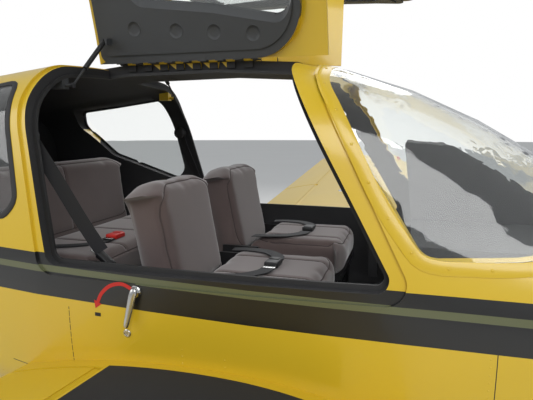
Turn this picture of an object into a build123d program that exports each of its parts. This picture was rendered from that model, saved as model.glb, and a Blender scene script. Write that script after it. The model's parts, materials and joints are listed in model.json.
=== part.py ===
from build123d import *
import math
import os

# Four-seat touring aeroplane: low wing, one nose engine, fixed tricycle gear and
# two doors that swing up from hinges along the roof, both standing open.
# Frame: +X to the nose, +Y to port, +Z up, origin on the ground under mid length.
# Millimetres.

os.makedirs("parts", exist_ok=True)

# Whole machine
length = 7700
span = 9780
fin_top = 3020

# Fuselage shell
cabin_wall = 46
tail_skin = 6
cowl_skin = 8
glass = 6
bulkhead_x = -110
bulkhead_wall = 15
firewall_x = 2520
belly_share = 0.93
floor_top = 750
floor_sheet = 15

# Doors
door_wall = 30
seal_depth = 36
seal_lip = 14
door_gap = 6
door_sheet = 7
rebate_play = 1.5
flange_gap = 5
front_flange_gap, front_door_gap = 12, 26
door_angle = 80
beam_half = 100
hinge_side_gap = 11
hinge_y = 108
hinge_z = 1830
pin_r = 3
knuckle_r = 7
knuckle_count = 9
hinge_x0, hinge_x1 = 728, 1318
knuckle_play = 2
pin_play = 0.3
trim_inset = 30
front_corner_r, rear_corner_r = 170, 40
roof_part_z, roof_over_z = 1600, 1920

# Gas struts, in the plane across the cabin: out from the hinge line and up from it
strut_x = 712
frame_pin_out, frame_pin_up = 275, -104
door_pin_out, door_pin_up = 84, 72
strut_pin_r = 4
strut_tube_r = 9
strut_tube_length = 165
strut_rod_r = 4
rod_play = 0.5
rod_end_r = 9

# Wing
wing_chord = 1220
wing_le_x = 1900
wing_root_y = 560
wing_z = 755
dihedral = 4.5
incidence = 2.4
wing_crest, wing_belly, wing_nose = 0.095, 0.050, 0.030
crest_place = 0.40
trailing_edge = 8
hinge_share = 0.75
flap_start, flap_end = 165, 2150
aileron_start, aileron_end = 2180, 4020
control_gap = 8
cove_factor = 1.22

# Tail
fin_root_x, fin_root_z = 1800 - length / 2, 1180
fin_root_chord, fin_tip_chord = 1010, 640
fin_sweep = 560
rudder_share = 0.66
rudder_play = 5
tail_thickness, tail_nose = 0.055, 0.02
stab_chord = 720
stab_half = 1600
stab_z = 1165
stab_pivot_x = 490 - length / 2
stab_tube_r = 24
stab_side_gap = 12
tail_surface_skin = 4
fin_tip_solid = 60

# Power plant
nose_face_x = length / 2 - 250
prop_z = 1110
prop_diameter = 1860
prop_x = length / 2 - 160
spinner_r = 165
spinner_back_x = length / 2 - 228
spinner_plate = 8
hub_r = 70
blade_edge = 2
engine_x0, engine_x1 = 2680, 3330
engine_half, engine_z0, engine_z1 = 315, 850, 1165
mount_r = 14

# Landing gear
main_x, main_y = 1240, 1165
nose_x = 3180
main_tyre_r, main_tyre_width = 218, 152
nose_tyre_r, nose_tyre_width = 180, 125
main_rim_r, nose_rim_r = 82, 68
axle_r = 18
axle_play = 0.4
leg_r = 34
leg_inset = 162
fork_stem_r = 28
fork_play = 0.5
fork_side_gap = 8
fork_plate = 12
nose_leg_r = 38
nose_leg_bottom = 480
spat_skin = 6
spat_bottom = 75
main_spat_half, nose_spat_half = 114, 100
main_spat_top, nose_spat_top = 486, 436
spat_seat_play = 0.3

# Seats
front_seat_y = 300
front_seat_half = 235
rear_bench_half = 500
cushion_edge = 30
bench_box_wall = 12

# Baggage door: middle of its hinge line, and how far that line turns out towards the nose
baggage_hinge = (95, 563, 1330)
baggage_hinge_slope = 0.145
baggage_knuckle_r = 9
baggage_knuckle_at, baggage_knuckle_half = 100, 30

# Fuselage sections: station, half width, belly height, waist height, shoulder half width,
# shoulder height, top height. The belly corner stands at belly_share of the half width.
hull_table = [
    (350 - length / 2, 52, 1085, 1140, 44, 1215, 1222),
    (-2200, 240, 895, 1100, 196, 1330, 1352),
    (-1100, 411, 764, 1088, 342, 1481, 1512),
    (bulkhead_x, 573, 658, 1065, 481, 1672, 1709),
    (300, 631, 627, 1055, 536, 1752, 1790),
    (750, 672, 610, 1050, 577, 1798, 1837),
    (1150, 682, 608, 1050, 586, 1802, 1843),
    (1450, 680, 608, 1060, 576, 1783, 1826),
    (1650, 673, 609, 1085, 548, 1732, 1785),
    (1850, 662, 610, 1120, 505, 1660, 1722),
    (2060, 643, 612, 1165, 444, 1556, 1626),
    (2290, 622, 616, 1206, 360, 1420, 1488),
    (firewall_x, 604, 622, 1216, 270, 1290, 1314),
]
# The tail cone and the cabin meet at the rear bulkhead
cabin_rows = hull_table[3:]
tail_rows = hull_table[:4]
cowl_table = [
    (firewall_x, 604, 622, 1216, 270, 1290, 1314),
    (2850, 560, 642, 1180, 292, 1280, 1304),
    (3150, 498, 690, 1148, 302, 1264, 1286),
    (nose_face_x - 180, 405, 772, 1108, 285, 1240, 1260),
    (nose_face_x, 300, 880, 1090, 215, 1212, 1228),
]
# Rounding of the belly corner, waist, shoulder and ridge, as shares of the shorter side
hull_rounding = (0.42, 0.45, 0.40, 0.50)

# Outlines in side view, with a corner radius each
door_outline = [(668, 1920), (668, 1660), (785, 1160), (1838, 1160), (1505, 1757), (1505, 1920)]
door_radii = [0, 250, 45, 35, 90, 0]
# The door's outer sheet laps over the cabin all round, most in front
flange_outline = [(650, 1920), (650, 1658), (765, 1137), (1876, 1137), (1561, 1745), (1580, 1830), (1580, 1920)]
flange_radii = [0, 250, 60, 55, 70, 60, 0]
# Corners of the door's window: station, out from the middle, height
window_corners = [(850, 345, 1815), (738, 520, 1730), (842, 655, 1268), (1690, 652, 1268), (1425, 252, 1810)]
window_radii = [70, 90, 60, 45, 60]
windscreen_outline = [(1606, 1920), (1606, 1796), (1577, 1750), (1897, 1247), (2120, 1256), (2548, 1309), (2700, 1330), (2700, 1920)]
windscreen_radii = [0, 30, 60, 60, 0, 0, 0, 0]
rear_window_outline = [(112, 1668), (592, 1733), (662, 1352), (606, 1292), (242, 1428), (80, 1588)]
rear_window_radii = [40, 45, 60, 50, 80, 50]
baggage_outline = [(-60, 1330), (250, 1330), (250, 980), (-60, 980)]


def save(name, shape):
    export_step(shape, f"parts/{name}.step")


def inset(points, amount):
    """Moves every side of an outline inwards by the amount, or by its own one: side i ends at point i."""
    count = len(points)
    amounts = amount if isinstance(amount, list) else [amount] * count
    area = sum(points[i - 1][0] * points[i][1] - points[i][0] * points[i - 1][1] for i in range(count))
    turn = 1 if area > 0 else -1
    moved = []
    for i in range(count):
        a, b, c = points[i - 1], points[i], points[(i + 1) % count]
        n1 = math.hypot(b[0] - a[0], b[1] - a[1])
        n2 = math.hypot(c[0] - b[0], c[1] - b[1])
        u1 = (-(b[1] - a[1]) / n1 * turn, (b[0] - a[0]) / n1 * turn)
        u2 = (-(c[1] - b[1]) / n2 * turn, (c[0] - b[0]) / n2 * turn)
        d1, d2 = amounts[i], amounts[(i + 1) % count]
        share = u1[0] * u2[0] + u1[1] * u2[1]
        k1, k2 = (d1 - share * d2) / (1 - share ** 2), (d2 - share * d1) / (1 - share ** 2)
        moved.append((b[0] + u1[0] * k1 + u2[0] * k2, b[1] + u1[1] * k1 + u2[1] * k2))
    return moved


def rounded_face(corners, cuts):
    """A flat face whose corners are arcs, each starting its cut length before the corner."""
    corners = [Vector(*corner) for corner in corners]
    count = len(corners)
    edges = []
    starts, ends = [], []
    for i, corner in enumerate(corners):
        back = (corners[i - 1] - corner).normalized()
        ahead = (corners[(i + 1) % count] - corner).normalized()
        starts.append(corner + back * cuts[i])
        ends.append(corner + ahead * cuts[i])
    for i, corner in enumerate(corners):
        if cuts[i] > 0:
            back = (corners[i - 1] - corner).normalized()
            ahead = (corners[(i + 1) % count] - corner).normalized()
            half = math.acos(max(-1, min(1, back.dot(ahead)))) / 2
            middle = (back + ahead).normalized()
            reach = cuts[i] / math.cos(half) - cuts[i] * math.tan(half)
            edges.append(ThreePointArc(starts[i], corner + middle * reach, ends[i]))
        edges.append(Line(ends[i], starts[(i + 1) % count]))
    return Face(Wire(edges))


def share_cuts(points, shares):
    count = len(points)
    cuts = []
    for i in range(count):
        before = math.dist(points[i - 1], points[i])
        after = math.dist(points[i], points[(i + 1) % count])
        cuts.append(shares[i] * min(before, after))
    return cuts


def radius_cuts(points, radii):
    count = len(points)
    cuts = []
    for i in range(count):
        before = math.atan2(points[i][1] - points[i - 1][1], points[i][0] - points[i - 1][0])
        after = math.atan2(points[(i + 1) % count][1] - points[i][1], points[(i + 1) % count][0] - points[i][0])
        turn = abs((after - before + math.pi) % (2 * math.pi) - math.pi)
        cuts.append(radii[i] * math.tan(turn / 2))
    return cuts


def hull_section(row, depth):
    x, half, belly, waist, shoulder, shoulder_z, top = row
    depth = min(depth, 0.3 * half)
    right = [(-belly_share * half, belly), (-half, waist), (-shoulder, shoulder_z)]
    points = right + [(0, top)] + [(-y, z) for y, z in reversed(right)]
    points = inset(points, depth)
    corner, waist_share, shoulder_share, ridge = hull_rounding
    shares = [corner, waist_share, shoulder_share, ridge, shoulder_share, waist_share, corner]
    return rounded_face([(x, y, z) for y, z in points], share_cuts(points, shares))


def hull(depth):
    """The fuselage form from the baggage space to the firewall, the depth given inside the skin."""
    return loft([hull_section(row, depth) for row in cabin_rows], ruled=True)


def tail_form(depth):
    return loft([hull_section(row, depth) for row in tail_rows], ruled=True)


def slab(x0, x1, y0, y1, z0, z1):
    return Pos((x0 + x1) / 2, (y0 + y1) / 2, (z0 + z1) / 2) * Box(abs(x1 - x0), abs(y1 - y0), abs(z1 - z0))


def side_prism(points, radii, y0, y1):
    """A side-view outline pushed through from y0 to y1."""
    face = rounded_face([(x, y0, z) for x, z in points], radius_cuts(points, radii))
    return extrude(face, amount=abs(y1 - y0), dir=(0, 1 if y1 > y0 else -1, 0))


def shoulder_prism(corners, radii):
    """An outline of (station, out, height) points, pushed through the starboard shoulder at 45 degrees."""
    outward, inward = Vector(0, -1, 1).normalized(), Vector(0, 1, 1).normalized()
    start = outward * 1100
    flat = [(x, (z - out) / math.sqrt(2)) for x, out, z in corners]
    place = [Vector(x, 0, 0) + inward * w + start for x, w in flat]
    face = rounded_face(place, radius_cuts(flat, radii))
    return extrude(face, amount=600, dir=outward)


def less(radii, amount):
    return [max(radius - amount, 0) for radius in radii]


def bar(start, end, radius):
    """A round bar between two points."""
    start, end = Vector(*start), Vector(*end)
    way = end - start
    plane = Plane(origin=start, z_dir=way)
    return plane * Cylinder(radius, way.length, align=(Align.CENTER, Align.CENTER, Align.MIN))


def port(shape):
    return mirror(shape, about=Plane.XZ)


outer = hull(0)
behind_sheet = hull(door_sheet)
behind_rebate = hull(door_sheet + rebate_play)
inner = hull(cabin_wall)
behind_glass = hull(glass)
behind_door = hull(door_wall)
behind_trim = hull(seal_depth)
side_reach = 900

# Cabin shell: one closed ring of wall from the rear bulkhead to the firewall, with the
# doorways, windows and windscreen cut
doorway = side_prism(door_outline, door_radii, -beam_half, -side_reach)
screen = side_prism(windscreen_outline, windscreen_radii, -side_reach, side_reach)
rear_pane = side_prism(rear_window_outline, rear_window_radii, -beam_half, -side_reach)
cabin_block = slab(bulkhead_x, firewall_x, -side_reach, side_reach, 500, 2000)
cavity = inner & slab(
    bulkhead_x + bulkhead_wall, firewall_x - bulkhead_wall, -side_reach, side_reach, 500, 2000)
baggage_hole = side_prism(baggage_outline, [40] * 4, beam_half, side_reach)
cabin = (outer & cabin_block) - cavity

# The leaning front edge rises as the door turns, so it gets more room than the others
flange_gaps = [-flange_gap] * 4 + [-front_flange_gap] * 3
flange_edge = side_prism(inset(flange_outline, flange_gaps), flange_radii, -beam_half, -side_reach)
rebate = (flange_edge & outer) - behind_rebate
for cut in (doorway, port(doorway), rebate, port(rebate), screen, rear_pane, port(rear_pane), baggage_hole):
    cabin = cabin - cut


def baggage_knuckles(grow):
    """The two knuckles of the baggage door's hinge, grown for the room they need."""
    middle, way = Vector(*baggage_hinge), Vector(1, baggage_hinge_slope, 0).normalized()
    row = []
    for place in (-baggage_knuckle_at, baggage_knuckle_at):
        reach = baggage_knuckle_half + grow
        start, end = middle + way * (place - reach), middle + way * (place + reach)
        row.append(bar(tuple(start), tuple(end), baggage_knuckle_r + grow))
    return row


for room in baggage_knuckles(pin_r):
    cabin = cabin - room

# Roof hinges: a pin along each side of the roof beam and knuckles in turn on beam and door
pitch = (hinge_x1 - hinge_x0) / (2 * knuckle_count - 1)


def knuckles(first, reach_y):
    """Knuckle tubes in every second place, each with a leaf down to the skin."""
    row = []
    count = knuckle_count if first == 0 else knuckle_count - 1
    for i in range(count):
        x0 = hinge_x0 + pitch * (2 * i + first) + knuckle_play / 2
        x1 = x0 + pitch - knuckle_play
        tube = bar((x0, -hinge_y, hinge_z), (x1, -hinge_y, hinge_z), knuckle_r)
        leaf = slab(x0, x1, -hinge_y, reach_y, hinge_z - 30, hinge_z + knuckle_r)
        row.append(tube + leaf)
    return row


pin_line = ((hinge_x0 + 2, -hinge_y, hinge_z), (hinge_x1 - 2, -hinge_y, hinge_z))
hinge_pin = bar(*pin_line, pin_r)
for knuckle in knuckles(1, -hinge_y + 45):
    cabin = cabin + knuckle + port(knuckle)
cabin = cabin + hinge_pin + port(hinge_pin)
save("cabin_shell", cabin)

# Glazing that stays put
save("windscreen", (outer & screen & cabin_block) - behind_glass)
pane = (outer & rear_pane) - behind_glass
save("rear_windows", Compound([pane, port(pane)]))

# Tail cone: a thin skin that closes to the stabilator fitting
tail_block = slab(-length, bulkhead_x, -side_reach, side_reach, 500, 2000)
tail = (tail_form(0) & tail_block) - (tail_form(tail_skin) & slab(-3330, bulkhead_x + 1, -800, 800, 500, 2000))
tail = tail - bar((stab_pivot_x, -300, stab_z), (stab_pivot_x, 300, stab_z), stab_tube_r + 5)
save("tail_cone", tail)

# Cowl: top and bottom halves round the engine, with two air inlets beside the spinner
cowl_outer = loft([hull_section(row, 0) for row in cowl_table], ruled=True)
cowl_inner = loft([hull_section(row, cowl_skin) for row in cowl_table], ruled=True)
nose_wall_x = cowl_table[-1][0] - 12
cowl = cowl_outer - (cowl_inner & slab(firewall_x - 1, nose_wall_x, -800, 800, 500, 2000))
cowl = cowl - bar((nose_face_x - 100, 0, prop_z), (nose_face_x + 100, 0, prop_z), hub_r + 12)
inlet = Pos(nose_face_x, -175, prop_z + 12) * Rot(0, 90, 0) * extrude(RectangleRounded(95, 145, 40), amount=80, both=True)
cowl = cowl - inlet - port(inlet)
leg_hole = bar((nose_x, 0, 500), (nose_x, 0, 1000), nose_leg_r + 6)
outlet = slab(firewall_x - 1, firewall_x + 90, -190, 190, 560, 660)
# Exhaust: one pipe down from the engine and back, through its own hole in the cowl
exhaust_x, exhaust_y, exhaust_bend, exhaust_r = 2900, -170, 600, 28
exhaust_end = (2740, exhaust_y, 540)


def exhaust_pipe(radius):
    bend = (exhaust_x, exhaust_y, exhaust_bend)
    pipe = bar((exhaust_x, exhaust_y, engine_z0), bend, radius) + bar(bend, exhaust_end, radius)
    return pipe + Pos(*bend) * Sphere(radius)


exhaust = exhaust_pipe(exhaust_r)
cowl = cowl - leg_hole - outlet - exhaust_pipe(exhaust_r + 5)
cowl_split = 1085
save("cowl_upper", cowl & slab(2400, length, -800, 800, cowl_split, 2000))
save("cowl_lower", cowl & slab(2400, length, -800, 800, 400, cowl_split))

# Door seals, on the inner half of each doorway's edge
seal_ring = doorway - side_prism(
    inset(door_outline, seal_lip), less(door_radii, seal_lip), -beam_half - seal_lip, -side_reach)
seal = ((behind_trim & seal_ring) - inner) & cabin_block
save("door_seals", Compound([seal, port(seal)]))

# Cabin floor
save("cabin_floor", cavity & slab(-100, 2500, -800, 800, floor_top - floor_sheet, floor_top))


# Doors, made shut and then swung up about the hinge pin
def swing(shape, side):
    """Opens a starboard (-1) or port (+1) door piece about its roof hinge."""
    return shape.rotate(Axis((0, side * hinge_y, hinge_z), (1, 0, 0)), side * door_angle)


door_edge_y = -beam_half - hinge_side_gap
door_shape = inset(door_outline, [door_gap] * 4 + [front_door_gap] * 2)
door_block = side_prism(door_shape, less(door_radii, door_gap), door_edge_y, -side_reach)
flange_block = side_prism(flange_outline, flange_radii, door_edge_y, -side_reach)
window_hole = shoulder_prism(window_corners, window_radii)
sheet = (outer & flange_block) - behind_sheet
frame = (behind_sheet & door_block) - behind_door


def round_roof_corners(shape, front_x, rear_x, edge_y, less_by):
    """Rounds a door panel's two corners beside the hinge, as seen from above."""
    for x, radius, ahead in ((front_x, front_corner_r - less_by, 1), (rear_x, rear_corner_r - less_by, -1)):
        middle_x, middle_y = x - ahead * radius, edge_y - radius
        corner = slab(min(middle_x, x + ahead), max(middle_x, x + ahead), middle_y, edge_y + 1, roof_part_z, roof_over_z)
        shape = shape - (corner - bar((middle_x, middle_y, roof_part_z), (middle_x, middle_y, roof_over_z), radius))
    return shape


door_front_x, door_rear_x = door_shape[-1][0], door_shape[0][0]
frame = round_roof_corners(frame, door_front_x, door_rear_x, door_edge_y, 0)
shut_skin = (sheet + frame) - window_hole
for i in range(knuckle_count - 1):
    room_x = hinge_x0 + pitch * (2 * i + 1)
    shut_skin = shut_skin - bar((room_x, -hinge_y, hinge_z), (room_x + pitch, -hinge_y, hinge_z), knuckle_r + 2)
for knuckle in knuckles(0, -hinge_y - 32):
    shut_skin = shut_skin + knuckle
shut_skin = shut_skin - bar(*pin_line, pin_r + pin_play)
shut_glass = (outer & window_hole) - behind_glass
trim_shape = inset(door_shape, trim_inset)
trim_block = side_prism(trim_shape, less(door_radii, trim_inset), door_edge_y - trim_inset, -side_reach)
shut_trim = (behind_door & trim_block) - behind_trim - window_hole
shut_trim = round_roof_corners(
    shut_trim, door_front_x - trim_inset, door_rear_x + trim_inset, door_edge_y - trim_inset, trim_inset)


def across(out, up, x=strut_x):
    """A point on the starboard side, out and up from the hinge line."""
    return (x, -hinge_y - out, hinge_z + up)


def turn_shut(out, up):
    """Where a point of the open door lies when the door is shut."""
    a = math.radians(door_angle)
    return out * math.cos(a) + up * math.sin(a), -out * math.sin(a) + up * math.cos(a)


# The door's pin stands on a lug of the inner face, modelled in the open position
shut_out, shut_up = turn_shut(door_pin_out, door_pin_up)
lug_y = -hinge_y - shut_out
lug = slab(strut_x + 12, strut_x + 20, lug_y - 12, lug_y + 12, hinge_z + shut_up - 10, hinge_z - 28)
lug_slot = slab(strut_x + 11, strut_x + 21, lug_y - 13, lug_y + 13, hinge_z + shut_up - 10, hinge_z)
shut_trim = shut_trim - lug_slot
door_pin = bar((strut_x - 6, -hinge_y - shut_out, hinge_z + shut_up),
               (strut_x + 16, -hinge_y - shut_out, hinge_z + shut_up), strut_pin_r)
for name, side in (("right", -1), ("left", 1)):
    pieces = [("door_skin", shut_skin + lug + door_pin), ("door_window", shut_glass), ("door_trim", shut_trim)]
    for piece_name, shape in pieces:
        if side > 0:
            shape = port(shape)
        save(f"{piece_name}_{name}", swing(shape, side))

# Gas struts: tube on the door's pin, rod to the stud on the door frame
b_point, a_point = Vector(*across(door_pin_out, door_pin_up)), Vector(*across(frame_pin_out, frame_pin_up))
along = (a_point - b_point).normalized()
eye = bar(b_point - Vector(5, 0, 0), b_point + Vector(5, 0, 0), strut_tube_r + 3)
tube = eye + bar(b_point, b_point + along * strut_tube_length, strut_tube_r)
tube = tube - bar(b_point + along * 14, b_point + along * (strut_tube_length + 1), strut_rod_r + rod_play)
tube = tube - bar(b_point - Vector(9, 0, 0), b_point + Vector(9, 0, 0), strut_pin_r + pin_play)
rod = bar(b_point + along * (strut_tube_length - 45), a_point, strut_rod_r)
rod = rod + bar(a_point - Vector(5, 0, 0), a_point + Vector(5, 0, 0), rod_end_r)
stud = bar(a_point - Vector(5.4, 0, 0), a_point - Vector(80, 0, 0), strut_pin_r + 2)
stud = stud + slab(632, 682, a_point.Y - 16, a_point.Y + 16, a_point.Z - 12, a_point.Z + 70)
stud = stud & inner
for name, side in (("right", -1), ("left", 1)):
    save(f"strut_tube_{name}", tube if side < 0 else port(tube))
    save(f"strut_rod_{name}", rod if side < 0 else port(rod))
save("strut_brackets", Compound([stud, port(stud)]))


# Wing and tail surfaces
def aerofoil(chord, crest, belly, nose, y, place=crest_place, tail=trailing_edge):
    """A wing section of arcs: nose circle, front and rear arcs above and below, blunt tail."""
    def front(height):
        share = place - nose
        return (share ** 2 + height ** 2 - nose ** 2) / (2 * (height - nose))

    def touch(height, sign):
        radius = front(height)
        way = Vector(nose - place, radius - height).normalized()
        return (nose + way.X * nose, sign * way.Y * nose)

    def between(radius, centre, start, end):
        a0 = math.atan2(start[1] - centre[1], start[0] - centre[0])
        a1 = math.atan2(end[1] - centre[1], end[0] - centre[0])
        middle = (a0 + a1) / 2
        return (centre[0] + radius * math.cos(middle), centre[1] + radius * math.sin(middle))

    half_tail = tail / 2 / chord
    rear_up = ((1 - place) ** 2 + (crest - half_tail) ** 2) / (2 * (crest - half_tail))
    rear_low = ((1 - place) ** 2 + (belly - half_tail) ** 2) / (2 * (belly - half_tail))
    upper, lower = touch(crest, 1), touch(belly, -1)
    top, bottom = (place, crest), (place, -belly)
    tail_up, tail_low = (1, half_tail), (1, -half_tail)
    arcs = [
        (upper, between(front(crest), (place, crest - front(crest)), upper, top), top),
        (top, between(rear_up, (place, crest - rear_up), top, tail_up), tail_up),
        (tail_up, None, tail_low),
        (tail_low, between(rear_low, (place, rear_low - belly), tail_low, bottom), bottom),
        (bottom, between(front(belly), (place, front(belly) - belly), bottom, lower), lower),
        (lower, (0, 0), upper),
    ]
    edges = []
    for start, middle, end in arcs:
        a, b = (-start[0] * chord, y, start[1] * chord), (-end[0] * chord, y, end[1] * chord)
        if middle is None:
            edges.append(Line(a, b))
        else:
            edges.append(ThreePointArc(a, (-middle[0] * chord, y, middle[1] * chord), b))
    return Face(Wire(edges))


wing_length = (span / 2 - wing_root_y) / math.cos(math.radians(dihedral))
tip_round = 70


def wing_place(shape):
    return Pos(wing_le_x, wing_root_y, wing_z) * Rot(dihedral, 0, 0) * Rot(0, incidence, 0) * shape


def wing_section(y, scale):
    face = aerofoil(wing_chord, wing_crest, wing_belly, wing_nose, y)
    if scale == 1:
        return face
    return Pos(-wing_chord * 0.45, y, 0) * (Pos(wing_chord * 0.45, -y, 0) * face).scale(scale)


wing_local = loft([wing_section(0, 1), wing_section(wing_length - tip_round, 1)], ruled=True)
tip_face = aerofoil(wing_chord, wing_crest * 0.45, wing_belly * 0.6, wing_nose * 0.5, wing_length)
wing_tip = loft([wing_section(wing_length - tip_round, 1), tip_face], ruled=True)
hinge_line_x = -hinge_share * wing_chord
fade = 1 - ((hinge_share - crest_place) / (1 - crest_place)) ** 2
upper_z, lower_z = wing_crest * fade * wing_chord, -wing_belly * fade * wing_chord
hinge_line_z = (upper_z + lower_z) / 2
control_nose = (upper_z - lower_z) / 2


def wing_controls():
    """Cuts flap and aileron out of the wing behind their hinge line."""
    body = wing_local + wing_tip
    panels = []
    for start, end in ((flap_start, flap_end), (aileron_start, aileron_end)):
        core = bar((hinge_line_x, start, hinge_line_z), (hinge_line_x, end, hinge_line_z), control_nose - 1)
        behind = slab(hinge_line_x, -wing_chord - 50, start, end, -400, 400)
        panels.append((wing_local & behind) + (core & slab(-2000, 0, start, end, -400, 400)))
        cove = bar((hinge_line_x, start - control_gap, hinge_line_z),
                   (hinge_line_x, end + control_gap, hinge_line_z), control_nose * cove_factor)
        bay = slab(hinge_line_x + control_gap, -wing_chord - 50, start - control_gap, end + control_gap, -400, 400)
        body = body - cove - bay
        for y in (start + 180, end - 180):
            body = body + slab(hinge_line_x - 4, hinge_line_x + control_nose * cove_factor + 20,
                               y - 6, y + 6, hinge_line_z - 12, hinge_line_z + 12)
            panels[-1] = panels[-1] - slab(hinge_line_x - 18, hinge_line_x + control_nose + 9,
                                           y - 14, y + 14, hinge_line_z - control_nose - 5, hinge_line_z + 40)
    return body, panels


wing_body, (flap, aileron) = wing_controls()
wing_port = wing_place(wing_body) - outer
flap_port, aileron_port = wing_place(flap), wing_place(aileron)
for name, shape in (("wing", wing_port), ("flap", flap_port), ("aileron", aileron_port)):
    save(f"{name}_left", shape)
    save(f"{name}_right", port(shape))


def tail_section(chord, y, depth):
    """A fin or tailplane section, or the hollow in it at the depth given."""
    if depth == 0:
        return aerofoil(chord, tail_thickness, tail_thickness, tail_nose, y)
    # the hollow keeps the place of the crest, and ends short of the thin trailing edge
    hollow = chord * 0.84
    crest = (tail_thickness * chord - depth) / hollow
    ahead = crest_place * (chord - hollow)
    return Pos(-ahead, 0, 0) * aerofoil(hollow, crest, crest, tail_nose, y)


# Fin and rudder: sections are level cuts, the rudder hinge line runs up the sweep
def fin_section(z, depth=0):
    share = (z - fin_root_z) / (fin_top - fin_root_z)
    chord = fin_root_chord + (fin_tip_chord - fin_root_chord) * share
    face = tail_section(chord, 0, depth).rotate(Axis.X, 90)
    return Pos(fin_root_x - fin_sweep * share, 0, z) * face


fin_solid = loft([fin_section(fin_root_z), fin_section(fin_top)], ruled=True)


def fin_hinge(z):
    share = (z - fin_root_z) / (fin_top - fin_root_z)
    chord = fin_root_chord + (fin_tip_chord - fin_root_chord) * share
    return fin_root_x - fin_sweep * share - rudder_share * chord


rudder_z0, rudder_z1 = 1385, 2960


def hinge_half(z):
    """Half the fin's thickness at the rudder's hinge line."""
    share = (z - fin_root_z) / (fin_top - fin_root_z)
    crest = tail_thickness * (fin_root_chord + (fin_tip_chord - fin_root_chord) * share)
    fall = ((rudder_share - crest_place) / (1 - crest_place)) ** 2
    return crest - (crest - trailing_edge / 2) * fall


hinge_low = Vector(fin_hinge(rudder_z0), 0, rudder_z0)
hinge_high = Vector(fin_hinge(rudder_z1), 0, rudder_z1)
rake = math.degrees(math.atan2(hinge_low.X - hinge_high.X, rudder_z1 - rudder_z0))
nose_low, nose_high = hinge_half(rudder_z0), hinge_half(rudder_z1)
hinge_plane = Plane(origin=hinge_low, x_dir=(0, 1, 0), z_dir=hinge_high - hinge_low)
rudder_height = (hinge_high - hinge_low).length


def rudder_zone(grow):
    """The space behind the rudder hinge line, square to it at both ends."""
    block = Box(400, 900, rudder_height + 2 * grow, align=(Align.CENTER, Align.MIN, Align.MIN))
    return hinge_plane * Pos(0, -grow, -grow) * block


on_end = (Align.CENTER, Align.CENTER, Align.MIN)
rudder_front = Cone(nose_low - 1, nose_high - 1, rudder_height, align=on_end)
rudder = (fin_solid & rudder_zone(0)) + hinge_plane * rudder_front
cove_height = rudder_height + 2 * control_gap
fin_cove = hinge_plane * Pos(0, 0, -control_gap) * Cone(
    nose_low + rudder_play, nose_high + rudder_play, cove_height, align=on_end)
fin = fin_solid - rudder_zone(control_gap) - fin_cove
# Both are hollow, the fin open below where it stands on the tail cone
hollow = loft([fin_section(fin_root_z - 20, tail_surface_skin),
               fin_section(fin_top - fin_tip_solid, tail_surface_skin)], ruled=True)
fin = fin - (hollow - rudder_zone(nose_low + rudder_play + tail_surface_skin))
rudder = rudder - (hollow & rudder_zone(-nose_low))
fin = fin - tail_form(0)
save("rudder", rudder)
save("fin", fin)

# All-moving tailplane: two panels on one cross tube through the tail cone
stab_quarter = 0.30
stab_root_y = 110 + stab_side_gap
stab_ends = (stab_root_y, stab_half)
stab_panel = loft([tail_section(stab_chord, y, 0) for y in stab_ends], ruled=True)
stab_rib = 3 * tail_surface_skin
stab_panel = stab_panel - loft([
    tail_section(stab_chord, y, tail_surface_skin) for y in (stab_root_y + stab_rib, stab_half - stab_rib)
], ruled=True)
stab_le_x = -length / 2 + stab_chord
stab_panel = Pos(stab_le_x, 0, stab_z) * stab_panel
stab_tube = bar((stab_pivot_x, -stab_root_y - 20, stab_z), (stab_pivot_x, stab_root_y + 20, stab_z), stab_tube_r)
save("stabilator", stab_panel + port(stab_panel) + stab_tube)

# Engine: one plain block on four mount tubes from the firewall
engine = slab(engine_x0, engine_x1, -engine_half, engine_half, engine_z0, engine_z1)
engine = engine + bar((engine_x1 - 10, 0, prop_z), (spinner_back_x - 0.3, 0, prop_z), 45)
for y in (-230, 230):
    for z in (engine_z0 + 60, engine_z1 - 60):
        engine = engine + bar((firewall_x - 20, y * 1.2, z), (engine_x0 + 10, y, z), mount_r)
engine = engine & slab(firewall_x, spinner_back_x, -800, 800, 600, 1400)
save("engine", engine)


# Propeller: two twisted blades on a hub, inside a spinner
def blade_section(radius, chord, thick, twist):
    face = aerofoil(chord, 0.65 * thick, 0.35 * thick, 0.22 * thick, 0, 0.38, blade_edge)
    face = Pos(chord * 0.42, 0, 0) * face
    # the chord line starts in the plane of the disc and is turned by the twist
    return Pos(prop_x, 0, prop_z + radius) * (Rot(0, 0, 90 - twist) * (face.rotate(Axis.X, 90)))


# Columns: radius, chord, thickness share, twist from the disc plane
blade_table = [
    (60, 96, 0.42, 50),
    (160, 104, 0.36, 45),
    (270, 132, 0.23, 37),
    (400, 156, 0.16, 29),
    (560, 156, 0.12, 23),
    (730, 138, 0.10, 18),
    (870, 104, 0.085, 14.5),
    (prop_diameter / 2, 58, 0.08, 13),
]
blade = loft([blade_section(*row) for row in blade_table], ruled=True)
hub = bar((spinner_back_x + spinner_plate, 0, prop_z), (prop_x + 62, 0, prop_z), hub_r)
propeller = hub + blade + blade.rotate(Axis((0, 0, prop_z), (1, 0, 0)), 180)
save("propeller", propeller)

spinner_front = length / 2


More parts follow.
